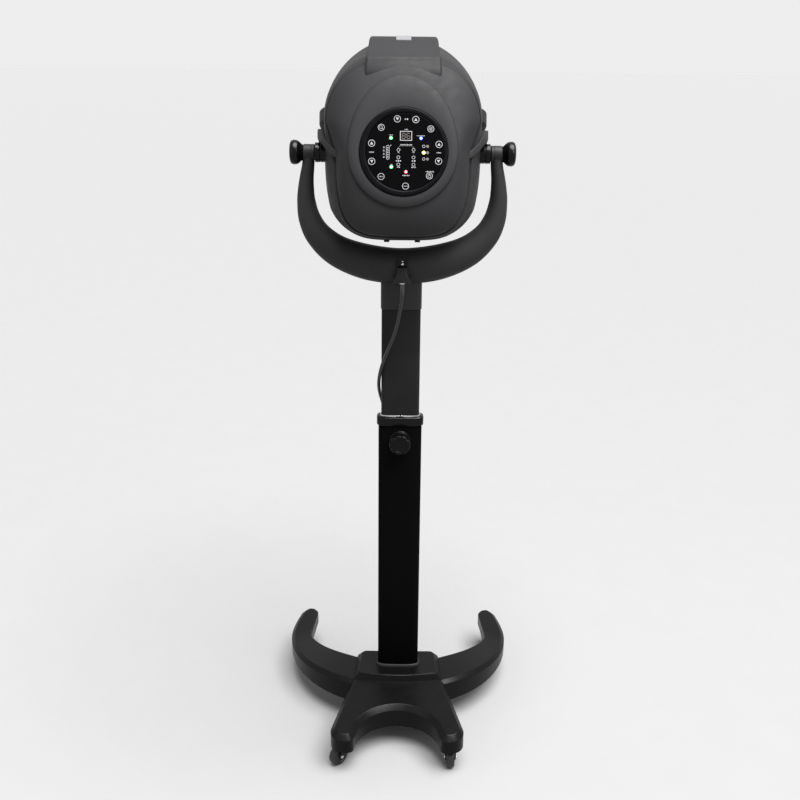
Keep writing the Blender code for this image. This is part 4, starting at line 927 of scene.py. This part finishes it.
def caption(bm, x, y, width, height):
    """A generic caption: a row of short bars in place of words."""
    count = max(2, round(width / (height * 0.95)))
    step = width / count
    for i in range(count):
        wide, tall = (0.62 if i % 3 else 0.45), (0.8 if i % 2 else 0.62)
        bar(bm, x - width / 2 + step * (i + 0.5), y, step * wide, height * tall)


def arrow(bm, x, y, size, turn):
    c, s = math.cos(math.radians(turn)), math.sin(math.radians(turn))
    shape = ((0, 1.0), (-0.95, -0.8), (0.95, -0.8))
    flat(bm, [(x + size * (c * a - s * b), y + size * (s * a + c * b)) for a, b in shape])


def digit(bm, x, y, width, height, lit):
    """Seven-segment figure; lit names its segments, from a at the top clockwise to f, and g in the middle."""
    line = 1.3
    w, h = width / 2, height / 2
    places = {"a": (0, h, 1), "b": (w, h / 2, 0), "c": (w, -h / 2, 0), "d": (0, -h, 1), "e": (-w, -h / 2, 0),
              "f": (-w, h / 2, 0), "g": (0, 0, 1)}
    for name in lit:
        px, py, level = places[name]
        if level:
            bar(bm, x + px, y + py, width - line * 1.2, line)
        else:
            bar(bm, x + px, y + py, line, h - line)


CAPTIONS = (  # x, y, width and height of each, apart from those inside keys
    (3, 65.3, 8.5, 4), (-66.3, -1.7, 10, 3), (69, -1.8, 10, 3), (51, -40, 17, 3), (3, 44.5, 8, 2.5),
    (-27.6, 33.2, 8.5, 2), (32.2, 32.1, 17, 2), (-26.4, -26, 5, 2), (3, -48.1, 15.5, 3), (2.8, 13.7, 24.7, 3),
    (-12.3, -1.8, 4, 2.5), (18.1, -1.8, 4, 2.5), (-12.3, -18.8, 12, 4), (18.1, -18.8, 9, 4),
    (-12.3, -31.5, 7, 3), (18.1, -31.5, 10, 3),
)
ARROW_KEYS = (  # x, y and which way each arrow is turned
    (-15.1, 65.8, 180), (22.1, 64.6, 0), (-66.5, 16.3, 0), (-66.0, -20.1, 180), (69.3, 15.1, 0),
    (68.6, -18.8, 180),
)
SIGN_KEYS = ((-47.4, 48.4), (52.5, 46.2), (-46.9, -50.6), (50.5, -48.5), (2.5, -69.6))
LAMPS = (  # the lit ones
    ("green", (-27.6, 27.3)), ("blue", (32.9, 27.3)), ("green", (-26.4, -31.1)), ("red", (3.0, -40.6)),
    ("yellow", (38.6, -1.8)),
)


def print_keys(ink):
    """Rings round the keys, with an arrow or a sign in each."""
    for x, y, turn in ARROW_KEYS:
        flat_ring(ink, x, y, 7.0, 1.05)
        arrow(ink, x, y, 3.3, turn)
    for x, y in SIGN_KEYS:
        flat_ring(ink, x, y, 6.8, 1.0)
    flat_ring(ink, -48.2, 49.0, 3.4, 0.8)  # a lens
    bar(ink, -45.0, 46.2, 4.0, 1.0, -40)
    for i in range(4):  # a fan
        a = math.radians(90 * i + 20)
        flat_ring(ink, 52.5 + 2.5 * math.cos(a), 46.2 + 2.5 * math.sin(a), 1.9, 0.6, 20)
    caption(ink, -46.9, -50.6, 9.0, 2.2)
    flat_ring(ink, 50.5, -48.9, 3.6, 0.9)  # the power sign
    bar(ink, 50.5, -46.0, 1.0, 4.2)
    caption(ink, 2.5, -69.6, 9.0, 2.2)


def print_display(ink, grey):
    """The display's frame and its two figures."""
    frame_x, frame_y, half_w, half_h, line = 2.7, 31.7, 12.1, 9.7, 1.3
    for sign in (-1, 1):
        bar(ink, frame_x, frame_y + sign * (half_h - line / 2), 2 * half_w, line)
        bar(ink, frame_x + sign * (half_w - line / 2), frame_y, line, 2 * half_h - 2 * line)
    digit(grey, -2.1, 31.6, 6.2, 10.6, "abcdefg")
    digit(grey, 7.5, 31.6, 6.2, 10.6, "acdefg")


def print_scales(ink, grey):
    """Rings for the unlit lamps, the gauge on the left, and the bracket over the two middle columns."""
    for x in (-12.3, 18.1):
        for y in (3.5, -11.7, -26.2):
            flat_ring(ink, x, y, 3.4, 0.8, 28)
    for y in (10.9, -14.6):
        flat_ring(ink, 38.6, y, 3.0, 0.75, 28)
    for y in (10.9, -1.8, -14.6):
        flat(grey, circle(2.9, 28, (46.2, y)))
    capsule = [(x - 33.8, y - 1.8) for x, y in rounded_box(3.25, 14.5, 3.2)]
    rings = [[(x / 1000, y / 1000, z) for x, y in offset(capsule, by)]
             for z, by in ((PRINT_FOOT, 0), (PRINT_TOP, 0), (PRINT_TOP, -0.8), (PRINT_FOOT, -0.8))]
    skin(rings, loop=True, bm=ink)
    for i in range(5):
        flat(ink, circle(1.25, 16, (-33.8, 7.4 - 4.6 * i)))
    for y in (7.5, 1.0, -5.7, -12.0):
        bar(ink, -41.8, y, 3.6, 1.0)
        bar(ink, -41.8, y + 1.9, 2.2, 0.8)
    bar(ink, -28.1, 12.0, 3.4, 0.9, 45)
    flat(grey, ((-9.8, 11.2), (-8.9, 11.9), (14.5, 11.9), (15.6, 11.2)))
    for x, turn in ((-11.4, 62), (17.2, -62)):
        bar(grey, x, 9.2, 4.4, 0.7, turn)


def make_panel(look):
    """Bezel ring and glass disc with their print: keys, captions, display and signal lamps."""
    matrix = HOOD @ Matrix.Translation((PANEL_X, PANEL_Y, PANEL_Z)) @ TO_FRONT
    edge = PANEL_HOLE - 0.0006
    bezel = ((GLASS_RADIUS + GAP, -0.004, 0), (edge, -0.004, 0), (edge, 0.0006, 0.0003),
             (0.0893, 0.002, 0.001), (0.0877, 0.0029, 0.0015), (0.0822, 0.003, 0.0012),
             (0.08, 0.0026, 0.0012), (GLASS_RADIUS + GAP, 0.0014, 0.0004))
    ring = turned(bezel, 160, True)
    for v in ring.verts:
        v.co.x += GLASS_SHIFT * clamp((0.089 - v.co.xy.length) / 0.008)
    show("panel_bezel", ring, matrix, look["bezel"], "hood", 50)
    glass = ((1e-5, -0.0025), (GLASS_RADIUS, -0.0025, 0.0002), (GLASS_RADIUS, 0.0007, 0.0005),
             (GLASS_RADIUS - 0.0008, 0.0014, 0.0005), (1e-5, 0.0014))
    glass = turned(glass, 160)
    matrix = matrix @ Matrix.Translation((GLASS_SHIFT, 0.0, 0.0))
    show("panel_glass", glass, matrix, look["glass"], "hood", 50)

    ink, grey = bmesh.new(), bmesh.new()
    print_keys(ink)
    for place_and_size in CAPTIONS:
        caption(ink, *place_and_size)
    print_display(ink, grey)
    print_scales(ink, grey)
    add("panel_print", ink, matrix, look["print"])
    add("display_digits", grey, matrix, look["digit"])
    cores = bmesh.new()
    for colour in ("green", "blue", "red", "yellow"):
        bm = bmesh.new()
        for lamp, (x, y) in LAMPS:
            if lamp == colour:
                flat_ring(bm, x, y, 3.5, 1.5, 32)
                flat(cores, circle(1.9, 24, (x, y)), PRINT_TOP + 0.00005)
        add(f"lamp_{colour}", bm, matrix, look[colour])
    add("lamp_cores", cores, matrix, look["lit"])


# ---------------------------------------------------------------- pivots
def band(path, heights, half, front_half, wall=0.014):
    """A raised band along a path in x and y; heights gives its middle's z at a y, half its half width."""
    route = smooth_curve([(x, y, 0.0) for x, y in path], 56)
    ways = np.gradient(route, axis=0)
    rings = []
    for (x, y, _), way in zip(route, ways):
        way = Vector(way).normalized()
        out = Vector((abs(way.y), -way.x if way.y > 0 else way.x, 0))
        middle = heights(y)
        wide = half + (front_half - half) * clamp((-0.06 - y) / 0.08)
        outline = rounded([(-wall, -wide, 0.0), (0.0, -wide, 0.0028), (0.0, wide, 0.0028),
                           (-wall, wide, 0.0)], 5)
        rings.append([Vector((x, y, middle + up)) + out * away for away, up in outline])
    return skin(rings)


def mirrored(mesh):
    copy = mesh.copy()
    copy.transform(Matrix.Scale(-1, 4, (1, 0, 0)))
    copy.flip_normals()
    return copy


def make_pivots(look):
    lower = to_mesh("lower", band(
        ((0.135, -0.115), (0.1425, -0.112), (0.1525, -0.1035), (0.1635, -0.0885), (0.1745, -0.062),
         (0.1825, -0.027), (0.184, 0.0), (0.1825, 0.035), (0.177, 0.075), (0.169, 0.118)),
        lambda y: 0.0368 - (0.086 if y < 0 else 0.065) * (y / 0.13) ** 2, 0.0108, 0.0072), HOOD)
    upper = to_mesh("upper", band(
        ((0.148, -0.09), (0.159, -0.064), (0.1745, -0.032), (0.1812, 0.0), (0.1795, 0.04),
         (0.173, 0.08), (0.165, 0.115)),
        lambda y: 0.0728 - 0.01 * (y / 0.12) ** 2, 0.0142, 0.0142), HOOD)
    collar = ((0.0056, 0.156, 0), (0.0205, 0.156, 0), (0.021, 0.1745, 0.001), (0.021, 0.1762, 0.0003),
              (0.0202, 0.177, 0.0003), (0.0202, 0.1782, 0.0003), (0.021, 0.179, 0.0003),
              (0.021, 0.1888, 0.0016), (0.0196, 0.1898, 0.0008), (0.0056, 0.1898, 0))
    hub_end = KNOB_FOOT - 0.0002
    hub = ((0.0056, HUB_INNER, 0), (HUB_RADIUS - 0.001, HUB_INNER, 0.0005),
           (HUB_RADIUS, HUB_INNER + 0.001, 0.0005), (HUB_RADIUS, 0.1965, 0.0003),
           (HUB_RADIUS - 0.0006, 0.197, 0.0003), (HUB_RADIUS - 0.0006, 0.1978, 0.0003),
           (HUB_RADIUS, 0.1983, 0.0003), (HUB_RADIUS, hub_end - 0.0014, 0.001),
           (HUB_RADIUS - 0.0014, hub_end, 0.0005), (0.0056, hub_end, 0))
    knob = ((0.005, 0.178, 0), (0.005, KNOB_FOOT, 0), (0.0148, KNOB_FOOT, 0.0005), (0.0166, 0.2164, 0.001),
            (0.0172, 0.2178, 0.002), (0.019, 0.22, 0.0025), (0.022, 0.223, 0.003), (0.0247, 0.2264, 0.003),
            (0.0261, 0.2305, 0.0025), (0.0263, 0.2365, 0.003), (0.0248, 0.2412, 0.0025), (0.02, 0.244, 0.003),
            (0.012, 0.2449, 0.003), (0.0004, 0.245, 0))
    for label, side in (("left", -1), ("right", 1)):
        outwards = Matrix.Rotation(side * math.radians(90), 4, "Y")
        matrix = HOOD @ outwards
        level = COLUMN @ Matrix.Translation((0, 0, PIVOT_Z)) @ outwards
        pair = bmesh.new()
        for mesh in (lower, upper):
            pair.from_mesh(mesh if side > 0 else mirrored(mesh))
        show(f"side_fairing_{label}", pair, Matrix.Identity(4), look["shell"], "hood", 35)
        show(f"pivot_collar_{label}", turned(collar, 72, True), matrix, look["gloss"], "hood")
        show(f"pivot_hub_{label}", turned(hub, 72, True), level, look["hub"], "mast")
        show(f"pivot_knob_{label}", turned(knob, 72), level, look["gloss"], f"pivot_knob_{label}", 24)


# ---------------------------------------------------------------- yoke and cable exit
def yoke_half(side):
    """Half of the U-shaped arm, from hub to hub; side is -1 for the half that faces the panel's side."""
    right = [(x, z, t) for x, z, t in YOKE_POINTS]
    right[-1] = (0.204, PIVOT_Z - 0.01, 0.013)
    keys = [(-x, z, t) for x, z, t in reversed(right[1:])] + right
    points = smooth_curve(keys, 121)
    ways = np.gradient(points[:, :2], axis=0)
    ways /= np.linalg.norm(ways, axis=1)[:, None]
    seam, lip = 0.0005, 0.0008
    rings = []
    for (x, z, thick), (wx, wz) in zip(points, ways):
        deep = 0.8 * thick + 0.004
        across = Vector((-wz, 0.0, wx))
        ring = []
        for a in np.radians(np.linspace(-90, 90, 31)):
            rise, out = thick * math.sin(a), deep * math.cos(a) + seam
            ring.append((rise - math.copysign(lip, rise) * (1.0 if out < lip * 2 else 0.0), out))
        for a in np.radians(np.linspace(90, -90, 13)):
            rise = (thick - YOKE_WALL) * math.sin(a)
            ring.append((rise, max((deep - YOKE_WALL) * math.cos(a), 0.0) + seam))
        rings.append([tuple(Vector((x, side * out, z)) + across * rise) for rise, out in ring])
    return skin(rings)


def make_yoke(look):
    for label, side in (("front", -1), ("rear", 1)):
        show(f"yoke_{label}_half", yoke_half(side), COLUMN, look["yoke"], "mast", 40)
    make_cable_exit(look)


def make_cable_exit(look):
    """Bracket with screws on the yoke's front, and the flared guard that the cord leaves."""
    face = -YOKE_FACE - 0.0006
    upright = COLUMN @ Matrix.Translation((0.0, face, 1.201)) @ TO_FRONT
    plate = rounded([(-0.013, -0.01, 0.0015), (0.013, -0.01, 0.0015), (0.013, 0.0002, 0.0012),
                     (0.0096, 0.0012, 0.0012), (0.0096, 0.01, 0.002), (-0.0096, 0.01, 0.002),
                     (-0.0096, 0.0012, 0.0012), (-0.013, 0.0002, 0.0012)], 5)
    show("cable_plate", prism(plate, -0.001, 0.0018, 0.0005), upright, look["gloss"], "mast")
    for label, rise, radius in (("upper", 0.004, 0.0021), ("lower", -0.0032, 0.0031)):
        head = ((0.0005, 0.001), (radius, 0.001, 0.0003), (radius, 0.0024, 0.0006),
                (radius * 0.72, 0.0032, 0.0008), (radius * 0.3, 0.0035, 0.0004),
                (radius * 0.28, 0.0026, 0.0002), (0.0002, 0.0026))
        show(f"plate_screw_{label}", turned(head, 40), upright @ Matrix.Translation((0.002, rise, 0)),
             look["steel"], "mast", 30)

    # height, half width and depth of the guard, which flares downwards
    guard = ((1.1915, 0.0116, 0.012), (1.183, 0.0124, 0.016), (1.1745, 0.0148, 0.0186),
             (1.167, 0.0178, 0.0192), (1.1612, 0.0194, 0.019))
    middle_x, middle_y = 0.0015, face - 0.008
    rings = []
    for z, half, deep in smooth_curve(guard, 20):
        outline = rounded([(-half, 0.004, 0.0), (-half, -deep, 0.0065), (half, -deep, 0.0065),
                           (half, 0.004, 0.0)], 8)
        droop = 0.003 if z < 1.164 else 0.0
        rings.append([(middle_x + x, face + y, z - droop * (x / half) ** 2) for x, y in outline])
    lip = rings[-1]
    for shrink, rise in ((0.985, -0.0007), (0.955, -0.0006), (0.94, 0.0004), (0.9, 0.006), (0.82, 0.014)):
        rings.append([(middle_x + (x - middle_x) * shrink, middle_y + (y - middle_y) * shrink, z + rise)
                      for x, y, z in lip])
    show("cable_guard", skin(rings), COLUMN, look["hub"], "mast", 40)


# ---------------------------------------------------------------- column and mast
def tube(outer, inner, low, high, edge=0.0012):
    """An upright tube with softened ends; outer and inner are sizes for grown."""
    rings = [at_height(grown(outer, -edge), low), at_height(grown(outer, -0.3 * edge), low + 0.3 * edge),
             at_height(grown(outer, 0), low + edge), at_height(grown(outer, 0), high - edge),
             at_height(grown(outer, -0.3 * edge), high - 0.3 * edge), at_height(grown(outer, -edge), high),
             at_height(grown(inner, 0), high), at_height(grown(inner, 0), low)]
    return skin(rings, loop=True)


def make_column(look):
    show("outer_column", tube(OUTER_TUBE, OUTER_BORE, COLUMN_FOOT, COLUMN_TOP), COLUMN, look["paint"], "base")
    trim = []
    for by, rise in ((0.0045, GAP), (0.0045, 0.003), (0.0035, 0.0058), (0.0018, 0.007), (0.0006, 0.0066),
                     (0.0004, GAP)):
        trim.append(at_height(grown(OUTER_TUBE, by), PLATFORM_TOP + rise))
    show("column_trim", skin(trim, loop=True), COLUMN, look["rubber"], "base")
    collar = []
    for by, z in ((-0.003, COLLAR_FOOT), (-0.0014, COLLAR_FOOT), (-0.0004, COLLAR_FOOT + 0.0007),
                  (0.0, COLLAR_FOOT + 0.002), (0.0, COLLAR_TOP - 0.0042), (-0.0007, COLLAR_TOP - 0.0022),
                  (-0.0026, COLLAR_TOP - 0.0006), (-0.0042, COLLAR_TOP)):
        collar.append(at_height(grown(COLLAR, by), z))
    for by, z in ((0.0006, COLLAR_TOP), (0.0, COLLAR_TOP - 0.0006), (0.0, COLUMN_TOP + GAP)):
        collar.append(at_height(grown(OUTER_BORE, by), z))
    for z in (COLUMN_TOP + GAP, COLLAR_FOOT):
        collar.append(at_height(grown(OUTER_TUBE, GAP), z))
    show("column_collar", skin(collar, loop=True), COLUMN, look["gloss"], "base")
    make_bush(look)
    make_lock(look)


def make_bush(look):
    """Bright guide strips in the collar's mouth, with a dark split at the middle of the front."""
    outer, inner = grown(OUTER_BORE, -GAP), grown(INNER_TUBE, 0.0004)
    split, steps = 0.0011, 90

    def reach(outline, a):
        """Where a ray from the middle at an angle meets the outline."""
        way = Vector((math.cos(a), math.sin(a)))
        for p, q in zip(outline, outline[1:] + outline[:1]):
            p, q = Vector(p), Vector(q)
            edge = q - p
            cross = way.x * edge.y - way.y * edge.x
            if abs(cross) < 1e-12:
                continue
            along = (p.x * edge.y - p.y * edge.x) / cross
            share = (p.x * way.y - p.y * way.x) / cross
            if along > 0 and -1e-6 <= share <= 1 + 1e-6:
                return way * along
        return way

    bm = bmesh.new()
    half = math.atan2(split, OUTER_BORE[1])
    spans = ((-math.pi / 2 + half, math.pi / 2 - 0.02), (math.pi / 2 + 0.02, 3 * math.pi / 2 - half))
    for first, last in spans:
        rings = []
        for a in np.linspace(first, last, steps):
            far, near = reach(outer, a), reach(inner, a)
            slope = far.lerp(near, 0.35)
            rings.append([(*far, BUSH_FOOT), (*far, BUSH_TOP - 0.0032), (*slope, BUSH_TOP - 0.0022),
                          (*near, BUSH_TOP - 0.0022), (*near, BUSH_FOOT)])
        skin(rings, bm=bm)
    show("guide_bush", bm, COLUMN, look["steel"], "base")


def make_lock(look):
    """Boss with two ring lines on the column's front, and the scalloped hand knob."""
    at = COLUMN @ Matrix.Translation((0.0, -OUTER_TUBE[1], LOCK_Z)) @ TO_FRONT
    boss = ((0.0052, 0.0003), (0.0245, 0.0003, 0.0003), (0.0245, 0.0046, 0.0003), (0.024, 0.005, 0.0002),
            (0.024, 0.0056, 0.0002), (0.0245, 0.006, 0.0003), (0.0245, 0.0084, 0.001),
            (0.0234, 0.0094, 0.0008), (0.0224, 0.0094, 0.0003), (0.0221, 0.0087, 0.0002),
            (0.0215, 0.0087, 0.0002), (0.0212, 0.0096, 0.0003), (0.02, 0.0099, 0.0004), (0.0052, 0.0099))
    show("lock_boss", turned(boss, 96, True), at, look["gloss"], "base")
    lobes, steps = 9, 216
    angles = np.linspace(0, 2 * math.pi, steps, endpoint=False)

    def scalloped(radius, z, depth):
        points = []
        for a in angles:
            r = radius - depth * max(0.0, math.cos(lobes * a)) ** 6
            points.append((r * math.cos(a), r * math.sin(a), z))
        return points

    levels = ((0.0045, -0.0048, 0), (0.0045, 0.0105, 0), (0.0136, 0.0105, 0), (0.014, 0.011, 0),
              (0.0142, 0.0148, 0), (0.02, 0.016, 0.0008), (0.0232, 0.0172, 0.0022), (0.0243, 0.019, 0.0028),
              (0.0246, 0.0215, 0.003), (0.0246, 0.0325, 0.003), (0.0242, 0.0345, 0.0028),
              (0.0232, 0.036, 0.0022), (0.0215, 0.0367, 0.001), (0.018, 0.0369, 0), (0.0166, 0.0368, 0),
              (0.016, 0.036, 0), (0.006, 0.0357, 0), (0.0004, 0.0357, 0))
    knob = skin([scalloped(*level) for level in levels])
    show("lock_knob", knob, at, look["knob"], "lock_knob", 38)


def make_mast(look):
    inner = tube(INNER_TUBE, INNER_BORE, INNER_TUBE_FOOT, INNER_TUBE_HEAD)
    show("inner_tube", inner, COLUMN, look["powder"], "mast")
    sleeve = tube(SLEEVE, SLEEVE_BORE, SLEEVE_FOOT, SLEEVE_HEAD)
    show("yoke_socket", sleeve, COLUMN, look["sleeve"], "mast")


# ---------------------------------------------------------------- base
def cover_outline():
    right = [(0.106, BASE_FRONT, 0.018), (0.17, BASE_FRONT, 0.034),
             (0.118, -0.052, 0.03), (0.101, 0.064, 0.018)]
    left = [(-x, y, r) for x, y, r in reversed(right)]
    angles = np.radians(np.linspace(165, 15, 41))
    arch = [(ARCH_RADIUS * math.cos(a), ARCH_CENTRE + ARCH_RADIUS * math.sin(a), 0.0) for a in angles]
    return rounded(right + left + arch)


def crown_outline(back_half, back, front_half, front, bow):
    """The raised platform's outline, with a front edge that is bowed forwards."""
    right = [(x * front_half, front - bow * (1 - x * x), 0.0) for x in (0.15, 0.35, 0.55, 0.75)]
    right += [(front_half, front, 0.008), (back_half, back, 0.012)]
    return rounded([(-x, y, r) for x, y, r in reversed(right)] + right, 8)


def slope_down(bm):
    """Lowers the cover's top towards the tips of its legs."""
    bmesh.ops.bisect_plane(bm, geom=bm.verts[:] + bm.edges[:] + bm.faces[:], dist=1e-6,
                           plane_co=(0, LEG_START, 0), plane_no=(0, 1, 0))
    for v in bm.verts:
        if v.co.z > BASE_UNDER + 0.01:
            v.co.z -= LEG_SLOPE * max(0.0, LEG_START - v.co.y)


def make_base(look):
    outline = cover_outline()
    shoulder = COVER_TOP - COVER_BEVEL
    levels = [(BASE_UNDER, -0.001), (BASE_UNDER + 0.001, 0.0), (shoulder - 0.0008, 0.0),
              (shoulder + 0.0006, -0.0008), (COVER_TOP - 0.0009, -COVER_BEVEL + 0.0009),
              (COVER_TOP, -COVER_BEVEL - 0.001)]
    bm = skin([at_height(offset(outline, by), z) for z, by in levels])
    slope_down(bm)
    cover = to_mesh("base_cover", bm)
    top = crown_outline(0.093, 0.05, 0.1007, -0.045, 0.0126)
    foot = crown_outline(0.105, 0.06, 0.1123, -0.051, 0.0115)
    crown = ((foot, 0.002, COVER_TOP - 0.006), (foot, 0.0, COVER_TOP + 0.0004),
             (top, 0.0008, PLATFORM_TOP - 0.0012), (top, 0.0, PLATFORM_TOP - 0.0004),
             (top, -0.0012, PLATFORM_TOP))
    crown = skin([at_height(offset(edge, by), z) for edge, by, z in crown])
    cover = boolean(cover, to_mesh("crown", crown), "UNION")
    pocket = prism(offset(outline, -0.005), BASE_UNDER - 0.01, POCKET_ROOF)
    cover = boolean(cover, to_mesh("pocket", pocket))
    hole = skin([at_height(grown(OUTER_TUBE, 0.0005), z) for z in (0.05, 0.16)])
    cover = boolean(cover, to_mesh("hole", hole))
    cover.transform(COLUMN)
    made = place("base_cover", cover, look["cover"], "base", ("base_cover",))
    soften(made, 0.001, 28)
    weigh(made)
    make_arms(look)
    for label, (x, y, heading) in CASTERS.items():
        make_caster(look, label, x, y, heading)


def arm_edges():
    """Points on the right arm's outer and inner edges, in pairs, and the pairs where its top's slope starts
    and ends.
    """
    outer_y, outer_radius = ARM_OUTER_ARC
    inner_y, inner_radius = ARM_INNER_ARC
    outer, inner = [], []
    for a in np.radians(np.linspace(-75, -2, 18)):
        outer.append((outer_radius * math.cos(a), outer_y + outer_radius * math.sin(a), 0.0))
    for a in np.radians(np.linspace(-72, -29, 18)):
        inner.append((inner_radius * math.cos(a), inner_y + inner_radius * math.sin(a), 0.0))
    outer += [(0.2958, 0.225, 0.0), (0.2942, 0.242, 0.0), (0.2908, 0.264, 0.0), (0.2864, 0.285, 0.0),
              (0.2822, 0.302, 0.0)]
    inner += [(0.2345, 0.18, 0.0), (0.2385, 0.2, 0.0), (0.2388, 0.225, 0.0), (0.2364, 0.255, 0.0),
              (0.2322, 0.302, 0.0)]
    pairs = [(tuple(a[:2]), tuple(b[:2])) for a, b in zip(smooth_curve(outer, 66), smooth_curve(inner, 66))]
    (outer_x, tail_y), (inner_x, _) = pairs[-1]
    middle, half = (outer_x + inner_x) / 2, (outer_x - inner_x) / 2
    for share in (0.2, 0.4, 0.55, 0.68, 0.78, 0.86, 0.92, 0.96, 0.985, 0.997):
        wide = half * (1 - share**2.8) ** (1 / 2.8)
        x, y = middle - 0.004 * share, tail_y + (ARM_END - tail_y) * share
        pairs.append(((x + wide, y), (x - wide, y)))
    return pairs, (6, 50)


def make_arms(look):
    pairs, (root, straight) = arm_edges()
    rings = []
    for i, (outer, inner) in enumerate(pairs):
        outer, inner = Vector(outer), Vector(inner)
        share = eased(clamp((i - root) / (straight - root)))
        top = ARM_TOP_INNER + (ARM_TOP_OUTER - ARM_TOP_INNER) * share
        width = (outer - inner).length
        edge, foot = min(0.0115, width * 0.3), min(0.002, width * 0.1)
        drop = 0.75 * edge
        soft = min(0.0012, 0.15 * edge)
        section = ((foot, ARM_UNDER), (width - foot, ARM_UNDER), (width, ARM_UNDER + foot),
                   (width, top - drop - soft), (width - soft * 0.7, top - drop + soft * 0.4),
                   (width - edge + soft, top - soft * 0.5), (width - edge - soft, top),
                   (edge * 0.55 + soft, top), (edge * 0.55 - soft, top - soft * 0.5),
                   (soft * 0.7, top - drop * 0.55 + soft * 0.4), (0.0, top - drop * 0.55 - soft),
                   (0.0, ARM_UNDER + foot))
        rings.append([(*inner.lerp(outer, across / max(width, 1e-6)), z) for across, z in section])
    right = to_mesh("base_arm", skin(rings), COLUMN, 24)
    left = mirrored(right)
    for label, mesh in (("right", right), ("left", left)):
        weigh(place(f"base_arm_{label}", mesh, look["cover"], "base", (f"base_arm_{label}",)))


def make_caster(look, label, x, y, heading):
    """Swivel fork with its thread stem, twin-flanged wheel and axle bolt, turned to its heading."""
    at = COLUMN @ Matrix.Translation((x, y, 0.0)) @ Matrix.Rotation(math.radians(heading), 4, "Z")
    axle_at = at @ Matrix.Translation((CASTER_TRAIL, 0, WHEEL_RADIUS)) @ TO_FRONT
    half = WHEEL_WIDTH / 2
    bm = turned(((0.0004, 0.05), (0.016, 0.05, 0.0008), (0.0172, 0.0515, 0.0008), (0.0172, 0.056, 0.001),
                 (0.016, 0.0575, 0.0008), (0.01, 0.0577, 0.0004), (0.0095, 0.059, 0.0004),
                 (0.0052, 0.0592, 0.0003), (0.005, CASTER_TOP + 0.026), (0.0004, CASTER_TOP + 0.026)), 56)
    cheek = rounded([(-0.0115, 0.052, 0.003), (0.013, 0.052, 0.004), (CASTER_TRAIL + 0.008, 0.027, 0.006),
                     (CASTER_TRAIL + 0.005, 0.0165, 0.006), (CASTER_TRAIL - 0.0065, 0.0185, 0.006),
                     (CASTER_TRAIL - 0.01, 0.03, 0.006)][::-1], 6)
    for side in (-1, 1):
        levels = ((0.0012, -0.0004), (0.0019, 0.0), (0.0033, 0.0), (0.004, -0.0007))
        skin([[(px, side * (half + away), pz) for px, pz in offset(cheek, by)] for away, by in levels], bm=bm)
    show(f"caster_fork_{label}", bm, at, look["gloss"], f"caster_{label}")
    wheel = ((0.0036, -half, 0), (0.008, -half, 0.0005), (0.0088, -half + 0.0014, 0.0006),
             (0.0168, -half + 0.002, 0.001), (0.018, -half, 0.0008), (0.0228, -half, 0.0014),
             (0.025, -half + 0.0036, 0.002), (0.025, half - 0.0036, 0.002), (0.0228, half, 0.0014),
             (0.018, half, 0.0008), (0.0168, half - 0.002, 0.001), (0.0088, half - 0.0014, 0.0006),
             (0.008, half, 0.0005), (0.0036, half, 0))
    show(f"caster_wheel_{label}", turned(wheel, 72, True), axle_at, look["wheel"], f"wheel_{label}")
    end = half + 0.0062
    axle = turned(((0.0002, -end), (0.0034, -end, 0.0006), (0.0042, -end + 0.0016, 0.0005),
                   (0.0042, -half - 0.004, 0.0003), (0.003, -half - 0.0039, 0), (0.003, half + 0.0039, 0),
                   (0.0042, half + 0.004, 0.0003), (0.0042, end - 0.0016, 0.0005), (0.0034, end, 0.0006),
                   (0.0002, end)), 32)
    show(f"caster_axle_{label}", axle, axle_at, look["steel"], f"caster_{label}", 28)


# ---------------------------------------------------------------- whole
KEPT = {  # nodes of the frame that show as they are, and the finish of each
    "base_frame": "powder", "ballast_plate": "iron", "base_bolt_left": "steel", "base_bolt_right": "steel",
    "tube_glide": "grille", "yoke_core": "steel", "control_board": "board", "blower_motor": "iron",
    "blower_impeller": "grille", "heater_coil": "wire",
}


def main():
    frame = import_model()
    look = make_finishes()
    make_camera()
    make_cord(look)
    make_stage()
    make_shells(look)
    make_scoop(look)
    make_neck(look)
    make_panel(look)
    make_pivots(look)
    make_yoke(look)
    make_column(look)
    make_mast(look)
    make_base(look)
    for name, chosen in KEPT.items():
        mesh = frame["nodes"][name].data
        mesh.materials.clear()
        mesh.materials.append(look[chosen])


main()
